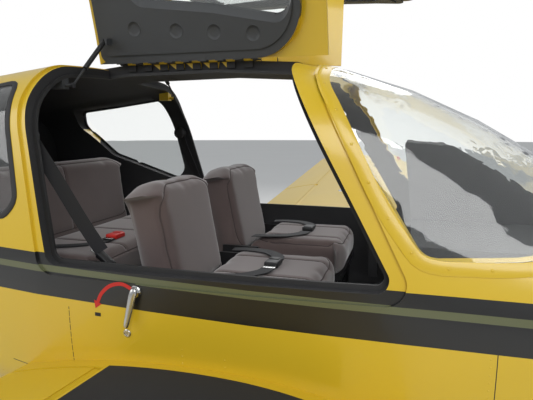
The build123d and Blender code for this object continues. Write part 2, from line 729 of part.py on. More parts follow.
spinner_axis = Axis((0, 0, prop_z), (1, 0, 0))
tip_r = 6
tip_top = (spinner_front, 0, prop_z + tip_r)
shoulder = (spinner_back_x + (spinner_front - spinner_back_x) * 0.62, 0, prop_z + spinner_r * 0.70)
rim_top = (spinner_back_x, 0, prop_z + spinner_r)
spinner_half = Face(Wire([
    Line((spinner_front, 0, prop_z), (spinner_back_x, 0, prop_z)), Line((spinner_back_x, 0, prop_z), rim_top),
    ThreePointArc(rim_top, shoulder, tip_top), Line(tip_top, (spinner_front, 0, prop_z))]))
slot = slab(prop_x - 58, prop_x + 62, -58, 58, prop_z - 300, prop_z + 300)
spinner = revolve(spinner_half, axis=spinner_axis, revolution_arc=360) - slot
spinner = spinner - bar((spinner_back_x + spinner_plate, 0, prop_z), (prop_x + 62, 0, prop_z), hub_r)
save("spinner", spinner)


# Wheels
def wheel(radius, width, rim_r, x, y):
    """Tyre and rim, turning on a bored hub."""
    half = width / 2
    tread, wall = half * 0.62, rim_r + 8
    points = [(-half * 0.70, rim_r), (-half, wall + 30), (-tread, radius), (tread, radius),
              (half, wall + 30), (half * 0.70, rim_r)]
    edges = [
        ThreePointArc((points[0][0], 0, points[0][1]), (-half * 0.96, 0, rim_r + 18), (points[1][0], 0, points[1][1])),
        ThreePointArc((points[1][0], 0, points[1][1]), (-half * 0.93, 0, (wall + 30 + radius) / 2 + 14),
                      (points[2][0], 0, radius - 6)),
        ThreePointArc((points[2][0], 0, radius - 6), (0, 0, radius), (points[3][0], 0, radius - 6)),
        ThreePointArc((points[3][0], 0, radius - 6), (half * 0.93, 0, (wall + 30 + radius) / 2 + 14),
                      (points[4][0], 0, points[4][1])),
        ThreePointArc((points[4][0], 0, points[4][1]), (half * 0.96, 0, rim_r + 18), (points[5][0], 0, points[5][1])),
        Line((points[5][0], 0, rim_r), (points[0][0], 0, rim_r)),
    ]
    tyre = revolve(Face(Wire(edges)), axis=Axis.X, revolution_arc=360)
    rim = Rot(0, 90, 0) * Cylinder(rim_r, half * 1.4)
    for side in (-1, 1):
        rim = rim - Pos(side * half * 0.5, 0, 0) * Rot(0, 90, 0) * (
            Cylinder(rim_r - 10, half * 0.42) - Cylinder(36, half * 0.42))
    rim = rim - Rot(0, 90, 0) * Cylinder(axle_r + axle_play, width * 2)
    place = Pos(x, y, radius) * Rot(0, 0, 90)
    return place * tyre, place * rim


tyre, rim = wheel(main_tyre_r, main_tyre_width, main_rim_r, main_x, main_y)
save("tyre_main_left", tyre)
save("rim_main_left", rim)
save("tyre_main_right", port(tyre))
save("rim_main_right", port(rim))
tyre, rim = wheel(nose_tyre_r, nose_tyre_width, nose_rim_r, nose_x, 0)
save("tyre_nose", tyre)
save("rim_nose", rim)


# Main legs: a tube down from the wing and an axle into the wheel
leg_y = main_y - leg_inset
leg_foot = (main_x + 12, leg_y, main_tyre_r)
leg = bar((main_x + 55, leg_y - 25, 760), leg_foot, leg_r)
leg = leg + Pos(*leg_foot) * Sphere(leg_r + 8)
leg = leg + bar((main_x, leg_y, main_tyre_r), (main_x, main_y + main_tyre_width * 0.36, main_tyre_r), axle_r)
leg = leg + bar((main_x, leg_y, main_tyre_r), (main_x, main_y - main_tyre_width / 2 - 4, main_tyre_r), axle_r + 10)
leg = leg - wing_place(wing_local)
leg = leg & slab(0, 3000, 0, 3000, 0, 745)
save("main_legs", Compound([leg, port(leg)]))


# Wheel spats: teardrop forms in plan and in side view, cut level below, hollow round the tyre
spat_shares = [0.004, 0.03, 0.09, 0.18, 0.30, 0.46, 0.60, 0.73, 0.86, 0.985]


def teardrop(share):
    """Half thickness of a streamlined body at a share of its length, 1 at the thickest place."""
    return (0.2969 * share ** 0.5 - 0.126 * share - 0.3516 * share ** 2
            + 0.2843 * share ** 3 - 0.1015 * share ** 4) / 0.10003


def spat_form(x, y, ahead, behind, half, top, nose_z, tail_z, inside):
    """The spat's outer form, or its inner one where inside is the skin."""
    faces = []
    for share in spat_shares:
        middle = nose_z + (tail_z - nose_z) * share
        wide = max(half * teardrop(share) - inside, 4)
        high = max((top - nose_z) * teardrop(share) - inside, 4)
        points = [(y - wide, middle - high), (y + wide, middle - high),
                  (y + wide, middle + high), (y - wide, middle + high)]
        station = x + ahead - (ahead + behind) * share
        faces.append(rounded_face([(station, py, pz) for py, pz in points], share_cuts(points, [0.42] * 4)))
    return loft(faces, ruled=True)


def spat(x, y, *sizes):
    """A skin round the wheel, open at spat_bottom."""
    form = spat_form(x, y, *sizes, 0) - spat_form(x, y, *sizes, spat_skin)
    return form & slab(x - 1000, x + 1000, y - 400, y + 400, spat_bottom, 1000)


main_spat = spat(main_x, main_y, 400, 640, main_spat_half, main_spat_top, 225, 300)
main_spat = main_spat - bar((main_x, main_y - 200, main_tyre_r), (main_x, main_y, main_tyre_r),
                            axle_r + 10 + spat_seat_play)
save("main_spats", Compound([main_spat, port(main_spat)]))

# Nose gear: fixed leg, steered fork, wheel and spat
nose_leg = bar((nose_x, 0, nose_leg_bottom), (nose_x, 0, engine_z0), nose_leg_r)
nose_leg = nose_leg - bar((nose_x, 0, nose_leg_bottom - 1), (nose_x, 0, 720), fork_stem_r + fork_play)
brace = bar((nose_x - 20, 0, engine_z0 - 60), (firewall_x - 20, 0, engine_z0 - 90), 20) - bar(
    (nose_x, 0, nose_leg_bottom), (nose_x, 0, engine_z0), nose_leg_r - 2)
brace = brace & slab(firewall_x, 3700, -800, 800, 400, 1400)
save("nose_leg", nose_leg + brace)

fork_half = nose_tyre_width / 2 + fork_side_gap
fork_out = fork_half + fork_plate
fork_top = nose_tyre_r * 2 + fork_side_gap
fork = bar((nose_x, 0, fork_top + fork_plate / 2), (nose_x, 0, 700), fork_stem_r)
fork = fork + slab(nose_x - 38, nose_x + 38, -fork_out, fork_out, fork_top, fork_top + fork_plate)
for side in (-1, 1):
    fork = fork + slab(nose_x - 26, nose_x + 26, side * fork_half, side * fork_out,
                       nose_tyre_r - 26, fork_top + fork_plate)
axle_half = nose_spat_half + 6
fork = fork + bar((nose_x, -axle_half, nose_tyre_r), (nose_x, axle_half, nose_tyre_r), axle_r)
save("nose_fork", fork)

nose_spat = spat(nose_x, 0, 350, 500, nose_spat_half, nose_spat_top, 188, 270)
nose_spat = nose_spat - bar((nose_x, 0, fork_top), (nose_x, 0, 700), fork_stem_r + spat_seat_play)
nose_spat = nose_spat - bar((nose_x, -200, nose_tyre_r), (nose_x, 200, nose_tyre_r), axle_r + spat_seat_play)
save("nose_spat", nose_spat)

save("exhaust", exhaust)


# Instrument panel, hood and controls
panel_x = 1900
panel = slab(panel_x, panel_x + 20, -480, 480, 930, 1262) + slab(panel_x, panel_x + 20, -90, 330, 1262, 1498)
save("instrument_panel", panel & inner)
hood_outline = [(1832, 1532), (1862, 1262), (2440, 1262), (2300, 1330), (2090, 1462), (1985, 1522)]
hood = extrude(rounded_face([(x, -110, z) for x, z in hood_outline], [6] * 6), amount=450, dir=(0, 1, 0))
hood = hood + slab(1862, 2440, -520, 520, 1200, 1264)
hood = (hood & inner) - slab(1800, panel_x + 20, -90, 330, 1200, 1508)
hood = hood - slab(1800, panel_x + 20, -481, 481, 1100, 1248)
save("glareshield", (hood & hull(cabin_wall + 2)) - panel)
yokes = []
for y in (-300, 300):
    column = bar((panel_x, y, 1160), (1760, y, 1160), 11)
    grip = slab(1745, 1765, y - 75, y + 75, 1150, 1172)
    for side in (-1, 1):
        grip = grip + slab(1742, 1768, y + side * 75 - 12, y + side * 75 + 12, 1130, 1235)
    yokes.append(column + grip)
save("control_yokes", Compound(yokes))
console = slab(1480, panel_x, -85, 85, floor_top, 900) + slab(1840, panel_x, -85, 85, floor_top, 1080)
save("centre_console", console)


# Seats: plain padded forms on bases
def pad(x0, x1, y0, y1, z0, z1, edge=cushion_edge):
    body = slab(x0, x1, y0, y1, z0, z1)
    return fillet(body.edges(), edge)


def leaned(body, x, z, angle):
    return body.rotate(Axis((x, 0, z), (0, 1, 0)), angle)


back_lean = -11
front_cushions, front_backs, bases = [], [], []
for y in (-front_seat_y, front_seat_y):
    y0, y1 = y - front_seat_half, y + front_seat_half
    front_cushions.append(pad(1175, 1640, y0, y1, 975, 1100))
    front_backs.append(leaned(pad(1045, 1165, y0, y1, 985, 1450), 1165, 985, back_lean))
    base = slab(1172, 1600, y0 + 25, y1 - 25, 950, 974.7)
    for side in (y0 - 12.3, y1 + 0.3):
        base = base + slab(1090, 1250, side, side + 12, 950, 1080)
    base = base + slab(1172, 1200, y0 - 12.3, y1 + 12.3, 950, 974.7)
    for x in (1180, 1540):
        base = base + slab(x, x + 40, y0 + 40, y0 + 70, floor_top, 952) + slab(x, x + 40, y1 - 70, y1 - 40, floor_top, 952)
    bases.append(base)
save("front_seat_cushions", Compound(front_cushions))
save("front_seat_backs", Compound(front_backs))
rear_cushion = pad(390, 850, -rear_bench_half, rear_bench_half, 1000, 1120)
rear_back = leaned(pad(260, 382, -rear_bench_half, rear_bench_half, 1010, 1470, 40), 382, 1010, -8)
save("rear_bench_cushion", rear_cushion)
save("rear_bench_back", rear_back)
bench_box = slab(400, 830, -440, 440, floor_top, 999.7) + slab(262, 402, -440, 440, floor_top, 980)
bench_box = bench_box - slab(262 + bench_box_wall, 830 - bench_box_wall, -440 + bench_box_wall,
                             440 - bench_box_wall, floor_top, 980 - bench_box_wall)
bases.append(bench_box)
save("seat_bases", Compound(bases))

# Baggage door on the port side, hinged along its upper edge
baggage_door = side_prism(inset(baggage_outline, door_gap), [34] * 4, beam_half, side_reach) & outer
baggage_door = baggage_door - behind_door
for knuckle in baggage_knuckles(0):
    baggage_door = baggage_door + knuckle
save("baggage_door", baggage_door)

# Latch levers and keys below each doorway
handle_x, handle_z = 1105, 1085
lever = bar((handle_x, -660, handle_z), (handle_x, -702, handle_z), 13)
lever = lever + bar((handle_x + 6, -700, handle_z + 22), (handle_x - 22, -700, handle_z - 112), 8)
lever = lever - outer
save("door_handles", Compound([lever, port(lever)]))
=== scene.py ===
import json
import math

import bpy
from mathutils import Matrix, Vector
from mathutils.bvhtree import BVHTree
from mathutils.kdtree import KDTree

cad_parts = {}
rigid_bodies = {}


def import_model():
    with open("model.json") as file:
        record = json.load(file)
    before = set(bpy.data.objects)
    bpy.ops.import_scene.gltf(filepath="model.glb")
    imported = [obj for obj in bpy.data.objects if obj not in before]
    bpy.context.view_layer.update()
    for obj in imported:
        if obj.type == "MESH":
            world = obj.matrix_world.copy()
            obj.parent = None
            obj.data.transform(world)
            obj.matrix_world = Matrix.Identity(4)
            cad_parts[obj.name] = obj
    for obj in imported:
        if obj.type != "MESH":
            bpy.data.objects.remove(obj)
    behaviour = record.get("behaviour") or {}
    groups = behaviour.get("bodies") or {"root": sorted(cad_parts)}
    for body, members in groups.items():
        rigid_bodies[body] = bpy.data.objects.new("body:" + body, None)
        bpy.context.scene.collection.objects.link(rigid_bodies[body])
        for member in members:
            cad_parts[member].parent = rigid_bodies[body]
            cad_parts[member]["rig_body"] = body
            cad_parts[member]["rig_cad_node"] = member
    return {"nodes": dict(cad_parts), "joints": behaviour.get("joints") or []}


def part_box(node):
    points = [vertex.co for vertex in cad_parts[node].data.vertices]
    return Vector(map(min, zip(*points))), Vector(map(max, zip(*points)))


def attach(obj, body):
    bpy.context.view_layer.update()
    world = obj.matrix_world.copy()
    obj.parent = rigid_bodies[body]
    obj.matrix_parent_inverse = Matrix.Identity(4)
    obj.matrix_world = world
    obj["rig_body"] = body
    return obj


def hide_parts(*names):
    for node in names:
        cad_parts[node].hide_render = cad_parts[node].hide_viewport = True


bl_info = {
    "name": "Touring aeroplane with roof-hinged doors",
    "version": (1, 0, 0),
    "blender": (4, 5, 0),
    "location": "View3D > Sidebar > Aeroplane",
    "description": "Finishes, glazing, seats, belts, rivets and stage for a four-seat touring aeroplane",
    "category": "Object",
}

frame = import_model()
nodes = frame["nodes"]
SIDES = (("right", -1), ("left", 1))

# The doors' hinge lines: distance from the centre plane, height, and how far the doors open
door_hinge = next(joint for joint in frame["joints"] if joint["name"] == "door_left_hinge")
HINGE_Y, HINGE_Z = door_hinge["pos_m"][1:]
DOOR_ANGLE = math.radians(door_hinge["range_deg"][1])
# A face of the shell nearer than this to a hinge line belongs to a knuckle
KNUCKLE_REACH = 0.014
# The bands drop towards the nose by this share, from the station where their height is set
STRIPE_LEAN, STRIPE_STATION = 0.0236, 1.38
# Heights of the fuselage's middle: for rays on its skin, and for telling its inner faces
SKIN_CENTRE, SHELL_CENTRE = 1.15, 1.2
# Behind the first station and ahead of the second, a face that looks into the cabin is lined
CABIN_AFT, CABIN_FRONT = -0.09, 2.49
# Distance from the centre plane to the middle of a front seat
FRONT_SEAT_Y = 0.3
# The CAD nodes that make the fuselage's outer surface
SKIN = ("cabin_shell", "windscreen", "rear_windows", "cowl_upper", "cowl_lower", "tail_cone")


class PaintSettings(bpy.types.PropertyGroup):
    yellow: bpy.props.FloatVectorProperty(
        name="Yellow", description="Main paint colour", default=(0.66, 0.45, 0.020),
        size=3, min=0, max=1, subtype="COLOR")
    black: bpy.props.FloatVectorProperty(
        name="Stripe black", description="Colour of the two wide bands", default=(0.010, 0.010, 0.010),
        size=3, min=0, max=1, subtype="COLOR")
    pinstripe: bpy.props.FloatVectorProperty(
        name="Pinstripe", description="Colour of the band between the black ones",
        default=(0.115, 0.125, 0.06), size=3, min=0, max=1, subtype="COLOR")
    band_top: bpy.props.FloatProperty(
        name="Band top", description="Height of the upper band's top edge at the door's middle",
        default=1.1835, subtype="DISTANCE", unit="LENGTH")
    upper_band: bpy.props.FloatProperty(
        name="Upper band", description="Width of the upper black band", default=0.038,
        subtype="DISTANCE", unit="LENGTH")
    pin_band: bpy.props.FloatProperty(
        name="Pinstripe width", description="Width of the grey band", default=0.020,
        subtype="DISTANCE", unit="LENGTH")
    lower_band: bpy.props.FloatProperty(
        name="Lower band", description="Width of the lower black band", default=0.074,
        subtype="DISTANCE", unit="LENGTH")


class StageSettings(bpy.types.PropertyGroup):
    camera_height: bpy.props.FloatProperty(
        name="Camera height", description="Eye height above the floor", default=1.58,
        subtype="DISTANCE", unit="LENGTH")
    floor_colour: bpy.props.FloatVectorProperty(
        name="Floor", description="Colour of the pale floor", default=(0.80, 0.80, 0.78),
        size=3, min=0, max=1, subtype="COLOR")
    sky_light: bpy.props.FloatProperty(
        name="Sky light", description="Strength of the soft light from all round", default=0.50, min=0, max=3)


def deselect():
    if bpy.context.mode != "OBJECT":
        bpy.ops.object.mode_set(mode="OBJECT")
    bpy.ops.object.select_all(action="DESELECT")


def choose(obj):
    deselect()
    obj.select_set(True)
    bpy.context.view_layer.objects.active = obj
    return obj


def settle(obj):
    """Puts the object's place into its mesh."""
    choose(obj)
    bpy.ops.object.transform_apply(location=True, rotation=True, scale=True)
    return obj


def named(obj, name):
    obj.name = name
    obj.data.name = name
    return obj


def apply(obj, kind, **values):
    """Adds a modifier with its values and applies it."""
    choose(obj)
    modifier = obj.modifiers.new(kind.lower(), kind)
    for key, value in values.items():
        setattr(modifier, key, value)
    bpy.ops.object.modifier_apply(modifier=modifier.name)
    return obj


def cut_away(obj, cutter):
    """Cuts a piece out of another and deletes it."""
    apply(obj, "BOOLEAN", operation="DIFFERENCE", object=cutter, solver="EXACT")
    bpy.data.objects.remove(cutter)


def smooth(obj, degrees=32):
    choose(obj)
    bpy.ops.object.shade_smooth_by_angle(angle=math.radians(degrees))
    return obj


def edit(obj, *steps):
    """Runs edit-mode steps on all of the object's elements."""
    choose(obj)
    bpy.ops.object.mode_set(mode="EDIT")
    bpy.ops.mesh.select_all(action="SELECT")
    for step in steps:
        step()
    bpy.ops.object.mode_set(mode="OBJECT")
    return obj


def close_up(obj):
    """Merges the doubled points of a rolled-up sheet and turns its faces outwards."""
    return edit(obj, lambda: bpy.ops.mesh.remove_doubles(threshold=0.00002),
                lambda: bpy.ops.mesh.normals_make_consistent(inside=False))


def box(name, low, high, bevel=0.0, segments=2):
    deselect()
    low, high = Vector(low), Vector(high)
    bpy.ops.mesh.primitive_cube_add(size=1, location=(low + high) / 2)
    obj = bpy.context.active_object
    obj.scale = high - low
    settle(obj)
    if bevel:
        apply(obj, "BEVEL", width=bevel, segments=segments)
    return named(obj, name)


def rod(name, start, end, radius, vertices=24, bevel=0.0):
    deselect()
    start, end = Vector(start), Vector(end)
    way = end - start
    bpy.ops.mesh.primitive_cylinder_add(
        vertices=vertices, radius=radius, depth=way.length, location=(start + end) / 2,
        rotation=way.to_track_quat("Z", "Y").to_euler())
    obj = settle(bpy.context.active_object)
    if bevel:
        apply(obj, "BEVEL", width=bevel, segments=2, limit_method="ANGLE", angle_limit=math.radians(40))
    return smooth(named(obj, name), 40)


def lathe(name, profile, centre=(0, 0, 0), axis=(0, 0, 1), steps=64):
    """A closed profile of (along, out) pairs turned about an axis through the centre."""
    deselect()
    bpy.ops.mesh.primitive_circle_add(vertices=len(profile), radius=1, fill_type="NOTHING")
    obj = bpy.context.active_object
    axis = Vector(axis).normalized()
    out = axis.orthogonal().normalized()
    for vertex, (along, reach) in zip(obj.data.vertices, profile):
        vertex.co = Vector(centre) + axis * along + out * reach
    edit(obj,
         lambda: bpy.ops.mesh.spin(steps=steps, angle=2 * math.pi, center=centre, axis=axis),
         lambda: bpy.ops.mesh.select_all(action="SELECT"),
         lambda: bpy.ops.mesh.remove_doubles(threshold=0.00005),
         lambda: bpy.ops.mesh.normals_make_consistent(inside=False))
    return smooth(named(obj, name), 35)


def grid_sheet(name, rows, thickness=0.0):
    """A sheet through rows of points, given a thickness towards its back."""
    deselect()
    bpy.ops.mesh.primitive_grid_add(x_subdivisions=len(rows[0]) - 1, y_subdivisions=len(rows) - 1, size=1)
    obj = bpy.context.active_object
    for vertex, place in zip(obj.data.vertices, (point for row in rows for point in row)):
        vertex.co = place
    obj.location = (0, 0, 0)
    if thickness:
        apply(obj, "SOLIDIFY", thickness=thickness, offset=0)
    return named(obj, name)


def join(name, pieces):
    deselect()
    for piece in pieces:
        piece.select_set(True)
    bpy.context.view_layer.objects.active = pieces[0]
    bpy.ops.object.join()
    return named(bpy.context.active_object, name)


def copied(part, name):
    """A merged copy of a CAD node, free of its body."""
    choose(nodes[part])
    bpy.ops.object.duplicate()
    copy = bpy.context.active_object
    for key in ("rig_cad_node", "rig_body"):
        if key in copy:
            del copy[key]
    copy.parent = None
    bpy.ops.mesh.customdata_custom_splitnormals_clear()
    edit(copy, lambda: bpy.ops.mesh.remove_doubles(threshold=0.00001))
    return named(copy, name)


def dressed(part, body, looks, pick=None, degrees=32, shape=None):
    """A smoothly shaded copy that stands for a CAD node; pick gives a face's material."""
    copy = copied(part, part + "_finish")
    if shape:
        shape(copy)
    copy.data.materials.clear()
    for look in looks:
        copy.data.materials.append(look)
    for polygon in copy.data.polygons:
        polygon.material_index = pick(polygon.center, polygon.normal) if pick else 0
    smooth(copy, degrees)
    weighted = copy.modifiers.new("weighted", "WEIGHTED_NORMAL")
    weighted.keep_sharp = True
    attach(copy, body)
    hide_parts(part)
    return copy


def tree_of(obj):
    return BVHTree.FromPolygons([v.co for v in obj.data.vertices],
                                [tuple(p.vertices) for p in obj.data.polygons])


TREES = {}


def meet(names, start, way):
    """The first point and normal that a ray meets on the named CAD nodes."""
    best = None
    start, way = Vector(start), Vector(way).normalized()
    for name in names:
        if name not in TREES:
            TREES[name] = tree_of(nodes[name])
        point, normal, _, reach = TREES[name].ray_cast(start, way)
        if point is not None and (best is None or reach < best[0]):
            best = (reach, point, normal)
    if best is None:
        raise RuntimeError(f"no surface of {names} is met from {tuple(start)}")
    return best[1], best[2] if best[2].dot(way) < 0 else -best[2]


def from_above(part, x, y):
    """The highest point and normal of a CAD node at a place on the plan."""
    return meet((part,), (x, y, 3), (0, 0, -1))


def from_below(part, x, y):
    """The lowest point and normal of a CAD node at a place on the plan."""
    return meet((part,), (x, y, -1), (0, 0, 1))


def on_skin(place, side):
    """Where a (station, out, height) place lies on the fuselage, from outside, with the normal."""
    target = Vector((place[0], side * place[1], place[2]))
    outward = Vector((0, target.y, target.z - SKIN_CENTRE)).normalized()
    return meet(SKIN, target + outward * 0.4, -outward)


def from_side(x, z, side):
    """Where a side-view place lies on the fuselage, with the normal."""
    return meet(SKIN, (x, side * 1.5, z), (0, -side, 0))


def rounded(corners, radii, count=7):
    """A closed outline with its corners rounded."""
    corners = [Vector(c) for c in corners]
    path = []
    for i, corner in enumerate(corners):
        back = (corners[i - 1] - corner).normalized()
        ahead = (corners[(i + 1) % len(corners)] - corner).normalized()
        reach = radii[i] / math.tan(back.angle(ahead) / 2)
        for k in range(count):
            t = k / (count - 1)
            path.append(corner + back * (reach * (1 - t) ** 2) + ahead * (reach * t ** 2))
    return path + path[:1]


def evenly(points, step):
    """Evenly spaced points on straight runs between the given ones."""
    points = [Vector(p) for p in points]
    lengths = [(b - a).length for a, b in zip(points, points[1:])]
    count = max(2, round(sum(lengths) / step))
    even, walked, leg = [points[0]], 0.0, 0
    for k in range(1, count):
        goal = sum(lengths) * k / count
        while walked + lengths[leg] < goal:
            walked += lengths[leg]
            leg += 1
        even.append(points[leg].lerp(points[leg + 1], (goal - walked) / lengths[leg]))
    return even + [points[-1]]


def run_through(points, step):
    """Evenly spaced points on a smooth curve through the given ones."""
    points = [Vector(p) for p in points]
    last = len(points) - 1
    fine = [points[0]]
    for i in range(last):
        a, b = points[max(i - 1, 0)], points[i]
        c, d = points[i + 1], points[min(i + 2, last)]
        for j in range(1, 9):
            t = j / 8
            fine.append(0.5 * (2 * b + (c - a) * t + (2 * a - 5 * b + 4 * c - d) * t ** 2
                               + (3 * b - a - 3 * c + d) * t ** 3))
    return evenly(fine, step)


def heading(points, i):
    """The way of a path at one of its points."""
    return (points[min(i + 1, len(points) - 1)] - points[max(i - 1, 0)]).normalized()


def ring_angles(sides):
    """Angles round a ring, with the first one again at the end."""
    return [2 * math.pi * k / sides for k in range(sides + 1)]


# A strip's section from one foot over its top to the other: across and up, as shares of width and height
STRIP_OUTLINE = ((-0.5, -0.8), (-0.5, 0.7), (-0.46, 1.0), (0.46, 1.0), (0.5, 0.7), (0.5, -0.8))


def skin_strip(name, path, side, width, height, step=0.02):
    """A raised strip that follows the skin along a path of (station, out, height)."""
    return strip_on(name, [on_skin(place, side) for place in run_through(path, step)], width, height)


def strip_on(name, feet, width, height):
    """A raised strip along (point, normal) feet."""
    rows, points = [], [point for point, _ in feet]
    for i, (point, normal) in enumerate(feet):
        across = normal.cross(heading(points, i)).normalized()
        rows.append([point + across * (width * a) + normal * (height * b) for a, b in STRIP_OUTLINE])
    return smooth(grid_sheet(name, rows), 50)


# A way that no tube takes, from which each of its rings is started
NEARLY_UP = Vector((0.13, 0.21, 0.97))


def tube(name, path, radius, sides, step=0.015):
    """A round tube along a smooth path, with closed ends."""
    centres = run_through(path, step)
    rows = []
    for i, point in enumerate(centres):
        along = heading(centres, i)
        aside = along.cross(NEARLY_UP).normalized()
        up = aside.cross(along)
        rows.append([point + (aside * math.cos(t) + up * math.sin(t)) * radius for t in ring_angles(sides)])
    first, last = ([row[0].lerp(row[sides // 2], 0.5)] * (sides + 1) for row in (rows[0], rows[-1]))
    return smooth(close_up(grid_sheet(name, [first, *rows, last])), 50)


def dome(radius, height, segments=10):
    """A low round head standing on the origin."""
    deselect()
    bpy.ops.mesh.primitive_uv_sphere_add(segments=segments, ring_count=6, radius=1)
    head = bpy.context.active_object
    head.scale = (radius, radius, height)
    settle(head)
    edit(head, lambda: bpy.ops.mesh.bisect(
        plane_co=(0, 0, -height * 0.05), plane_no=(0, 0, 1), clear_inner=True))
    return head


def standing(point, outward, size=1.0):
    """The place of a piece whose Z axis points outward."""
    turn = Vector(outward).to_track_quat("Z", "Y").to_matrix().to_4x4()
    return Matrix.Translation(point) @ turn @ Matrix.Scale(size, 4)


def laid(point, along, out):
    """The place of a piece whose X axis points along and whose Z axis points out."""
    return Matrix.Translation(point) @ Matrix((along, out.cross(along), out)).transposed().to_4x4()


def copies(name, base, places, degrees=50):
    """Copies of a piece, each put at its own place, all in one mesh."""
    shape = [vertex.co.copy() for vertex in base.data.vertices]
    if len(places) > 1:
        apply(base, "ARRAY", count=len(places), use_merge_vertices=False)
    for i, place in enumerate(places):
        for j, spot in enumerate(shape):
            base.data.vertices[i * len(shape) + j].co = place @ spot
    return smooth(named(base, name), degrees)


def scattered(name, base, places):
    """Copies of a small piece at (point, outward) places."""
    return copies(name, base, [standing(point, outward) for point, outward in places])


def finish(obj, body, look, slot=None):
    """Gives a piece its material and the body that it moves with; the slot argument is not used."""
    obj.data.materials.clear()
    obj.data.materials.append(look)
    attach(obj, body)
    return obj


def coat(part, look):
    """Gives a CAD node its finish."""
    nodes[part].data.materials.clear()
    nodes[part].data.materials.append(look)


# Node trees


def new_group(name, inputs, outputs):
    group = bpy.data.node_groups.new(name, "ShaderNodeTree")
    for label, kind, default in inputs:
        socket = group.interface.new_socket(name=label, in_out="INPUT", socket_type="NodeSocket" + kind)
        socket.default_value = default
    for label, kind in outputs:
        group.interface.new_socket(name=label, in_out="OUTPUT", socket_type="NodeSocket" + kind)
    start, end = group.nodes.new("NodeGroupInput"), group.nodes.new("NodeGroupOutput")
    return group, start, end


def node(tree, kind, links=None, **values):
    """Adds a node; values starting with in_ set its inputs by number, links join them."""
    made = tree.nodes.new("ShaderNode" + kind)
    for key, value in values.items():
        if key.startswith("in_"):
            made.inputs[int(key[3:])].default_value = value
        else:
            setattr(made, key, value)
    for index, source in (links or {}).items():
        tree.links.new(source, made.inputs[index])
    return made


def maths(tree, operation, a, b=None, clamp=False):
    links, values = {}, {}
    for index, value in ((0, a), (1, b)):
        if isinstance(value, (int, float)):
            values[f"in_{index}"] = value
        elif value is not None:
            links[index] = value
    return node(tree, "Math", links, operation=operation, use_clamp=clamp, **values).outputs[0]


def mix_colour(tree, factor, a, b):
    made = tree.nodes.new("ShaderNodeMix")
    made.data_type = "RGBA"
    for index, value in ((0, factor), (6, a), (7, b)):
        if isinstance(value, bpy.types.NodeSocket):
            tree.links.new(value, made.inputs[index])
        elif index == 0:
            made.inputs[index].default_value = value
        else:
            made.inputs[index].default_value = (*value[:3], 1)
    return made.outputs[2]


GROUPS = {}
FINISHES = {}


def surface_group():
    """Slow colour change, fine grain and rub marks, with a normal for the grain."""
    if "surface" in GROUPS:
        return GROUPS["surface"]
    group, start, end = new_group(
        "Aged surface",
        [("Vector", "Vector", (0, 0, 0)), ("Colour", "Color", (1, 1, 1, 1)), ("Patch size", "Float", 3.0),
         ("Patch amount", "Float", 0.1), ("Grain size", "Float", 400.0), ("Grain height", "Float", 0.1),
         ("Roughness", "Float", 0.4), ("Roughness change", "Float", 0.1)],
        [("Colour", "Color"), ("Roughness", "Float"), ("Normal", "Vector")])
    vector = start.outputs["Vector"]
    patch = node(group, "TexNoise", {0: vector, 2: start.outputs["Patch size"]}, in_3=4.0)
    centred = maths(group, "SUBTRACT", patch.outputs[0], 0.5)
    amount = maths(group, "MULTIPLY", centred, start.outputs["Patch amount"])
    value = maths(group, "ADD", maths(group, "MULTIPLY", amount, 2.0), 1.0)
    tone = node(group, "HueSaturation", {4: start.outputs["Colour"], 2: value})
    grain = node(group, "TexNoise", {0: vector, 2: start.outputs["Grain size"]}, in_3=2.0)
    rough = maths(group, "ADD", start.outputs["Roughness"],
                  maths(group, "MULTIPLY", centred, start.outputs["Roughness change"]), clamp=True)
    bump = node(group, "Bump", {0: start.outputs["Grain height"], 2: grain.outputs[0]}, in_1=0.001)
    group.links.new(tone.outputs[0], end.inputs["Colour"])
    group.links.new(rough, end.inputs["Roughness"])
    group.links.new(bump.outputs[0], end.inputs["Normal"])
    GROUPS["surface"] = group
    return group


def stripe_group(settings):
    """Where the two black bands and the grey one run along the fuselage side."""
    if "stripes" in GROUPS:
        return GROUPS["stripes"]
    group, start, end = new_group(
        "Side bands", [("Vector", "Vector", (0, 0, 0))], [("Black", "Float"), ("Grey", "Float")])
    split = node(group, "SeparateXYZ", {0: start.outputs["Vector"]})
    lean = maths(group, "MULTIPLY", maths(group, "SUBTRACT", split.outputs[0], STRIPE_STATION), STRIPE_LEAN)
    level = maths(group, "ADD", split.outputs[2], lean)
    top = settings.band_top
    upper = top - settings.upper_band
    pin = upper - settings.pin_band
    low = pin - settings.lower_band
    under = [maths(group, "LESS_THAN", level, edge) for edge in (top, upper, pin, low)]
    black = maths(group, "ADD", maths(group, "SUBTRACT", under[0], under[1]),
                  maths(group, "SUBTRACT", under[2], under[3]))
    grey = maths(group, "SUBTRACT", under[1], under[2])
    group.links.new(black, end.inputs["Black"])
    group.links.new(grey, end.inputs["Grey"])
    GROUPS["stripes"] = group
    return group


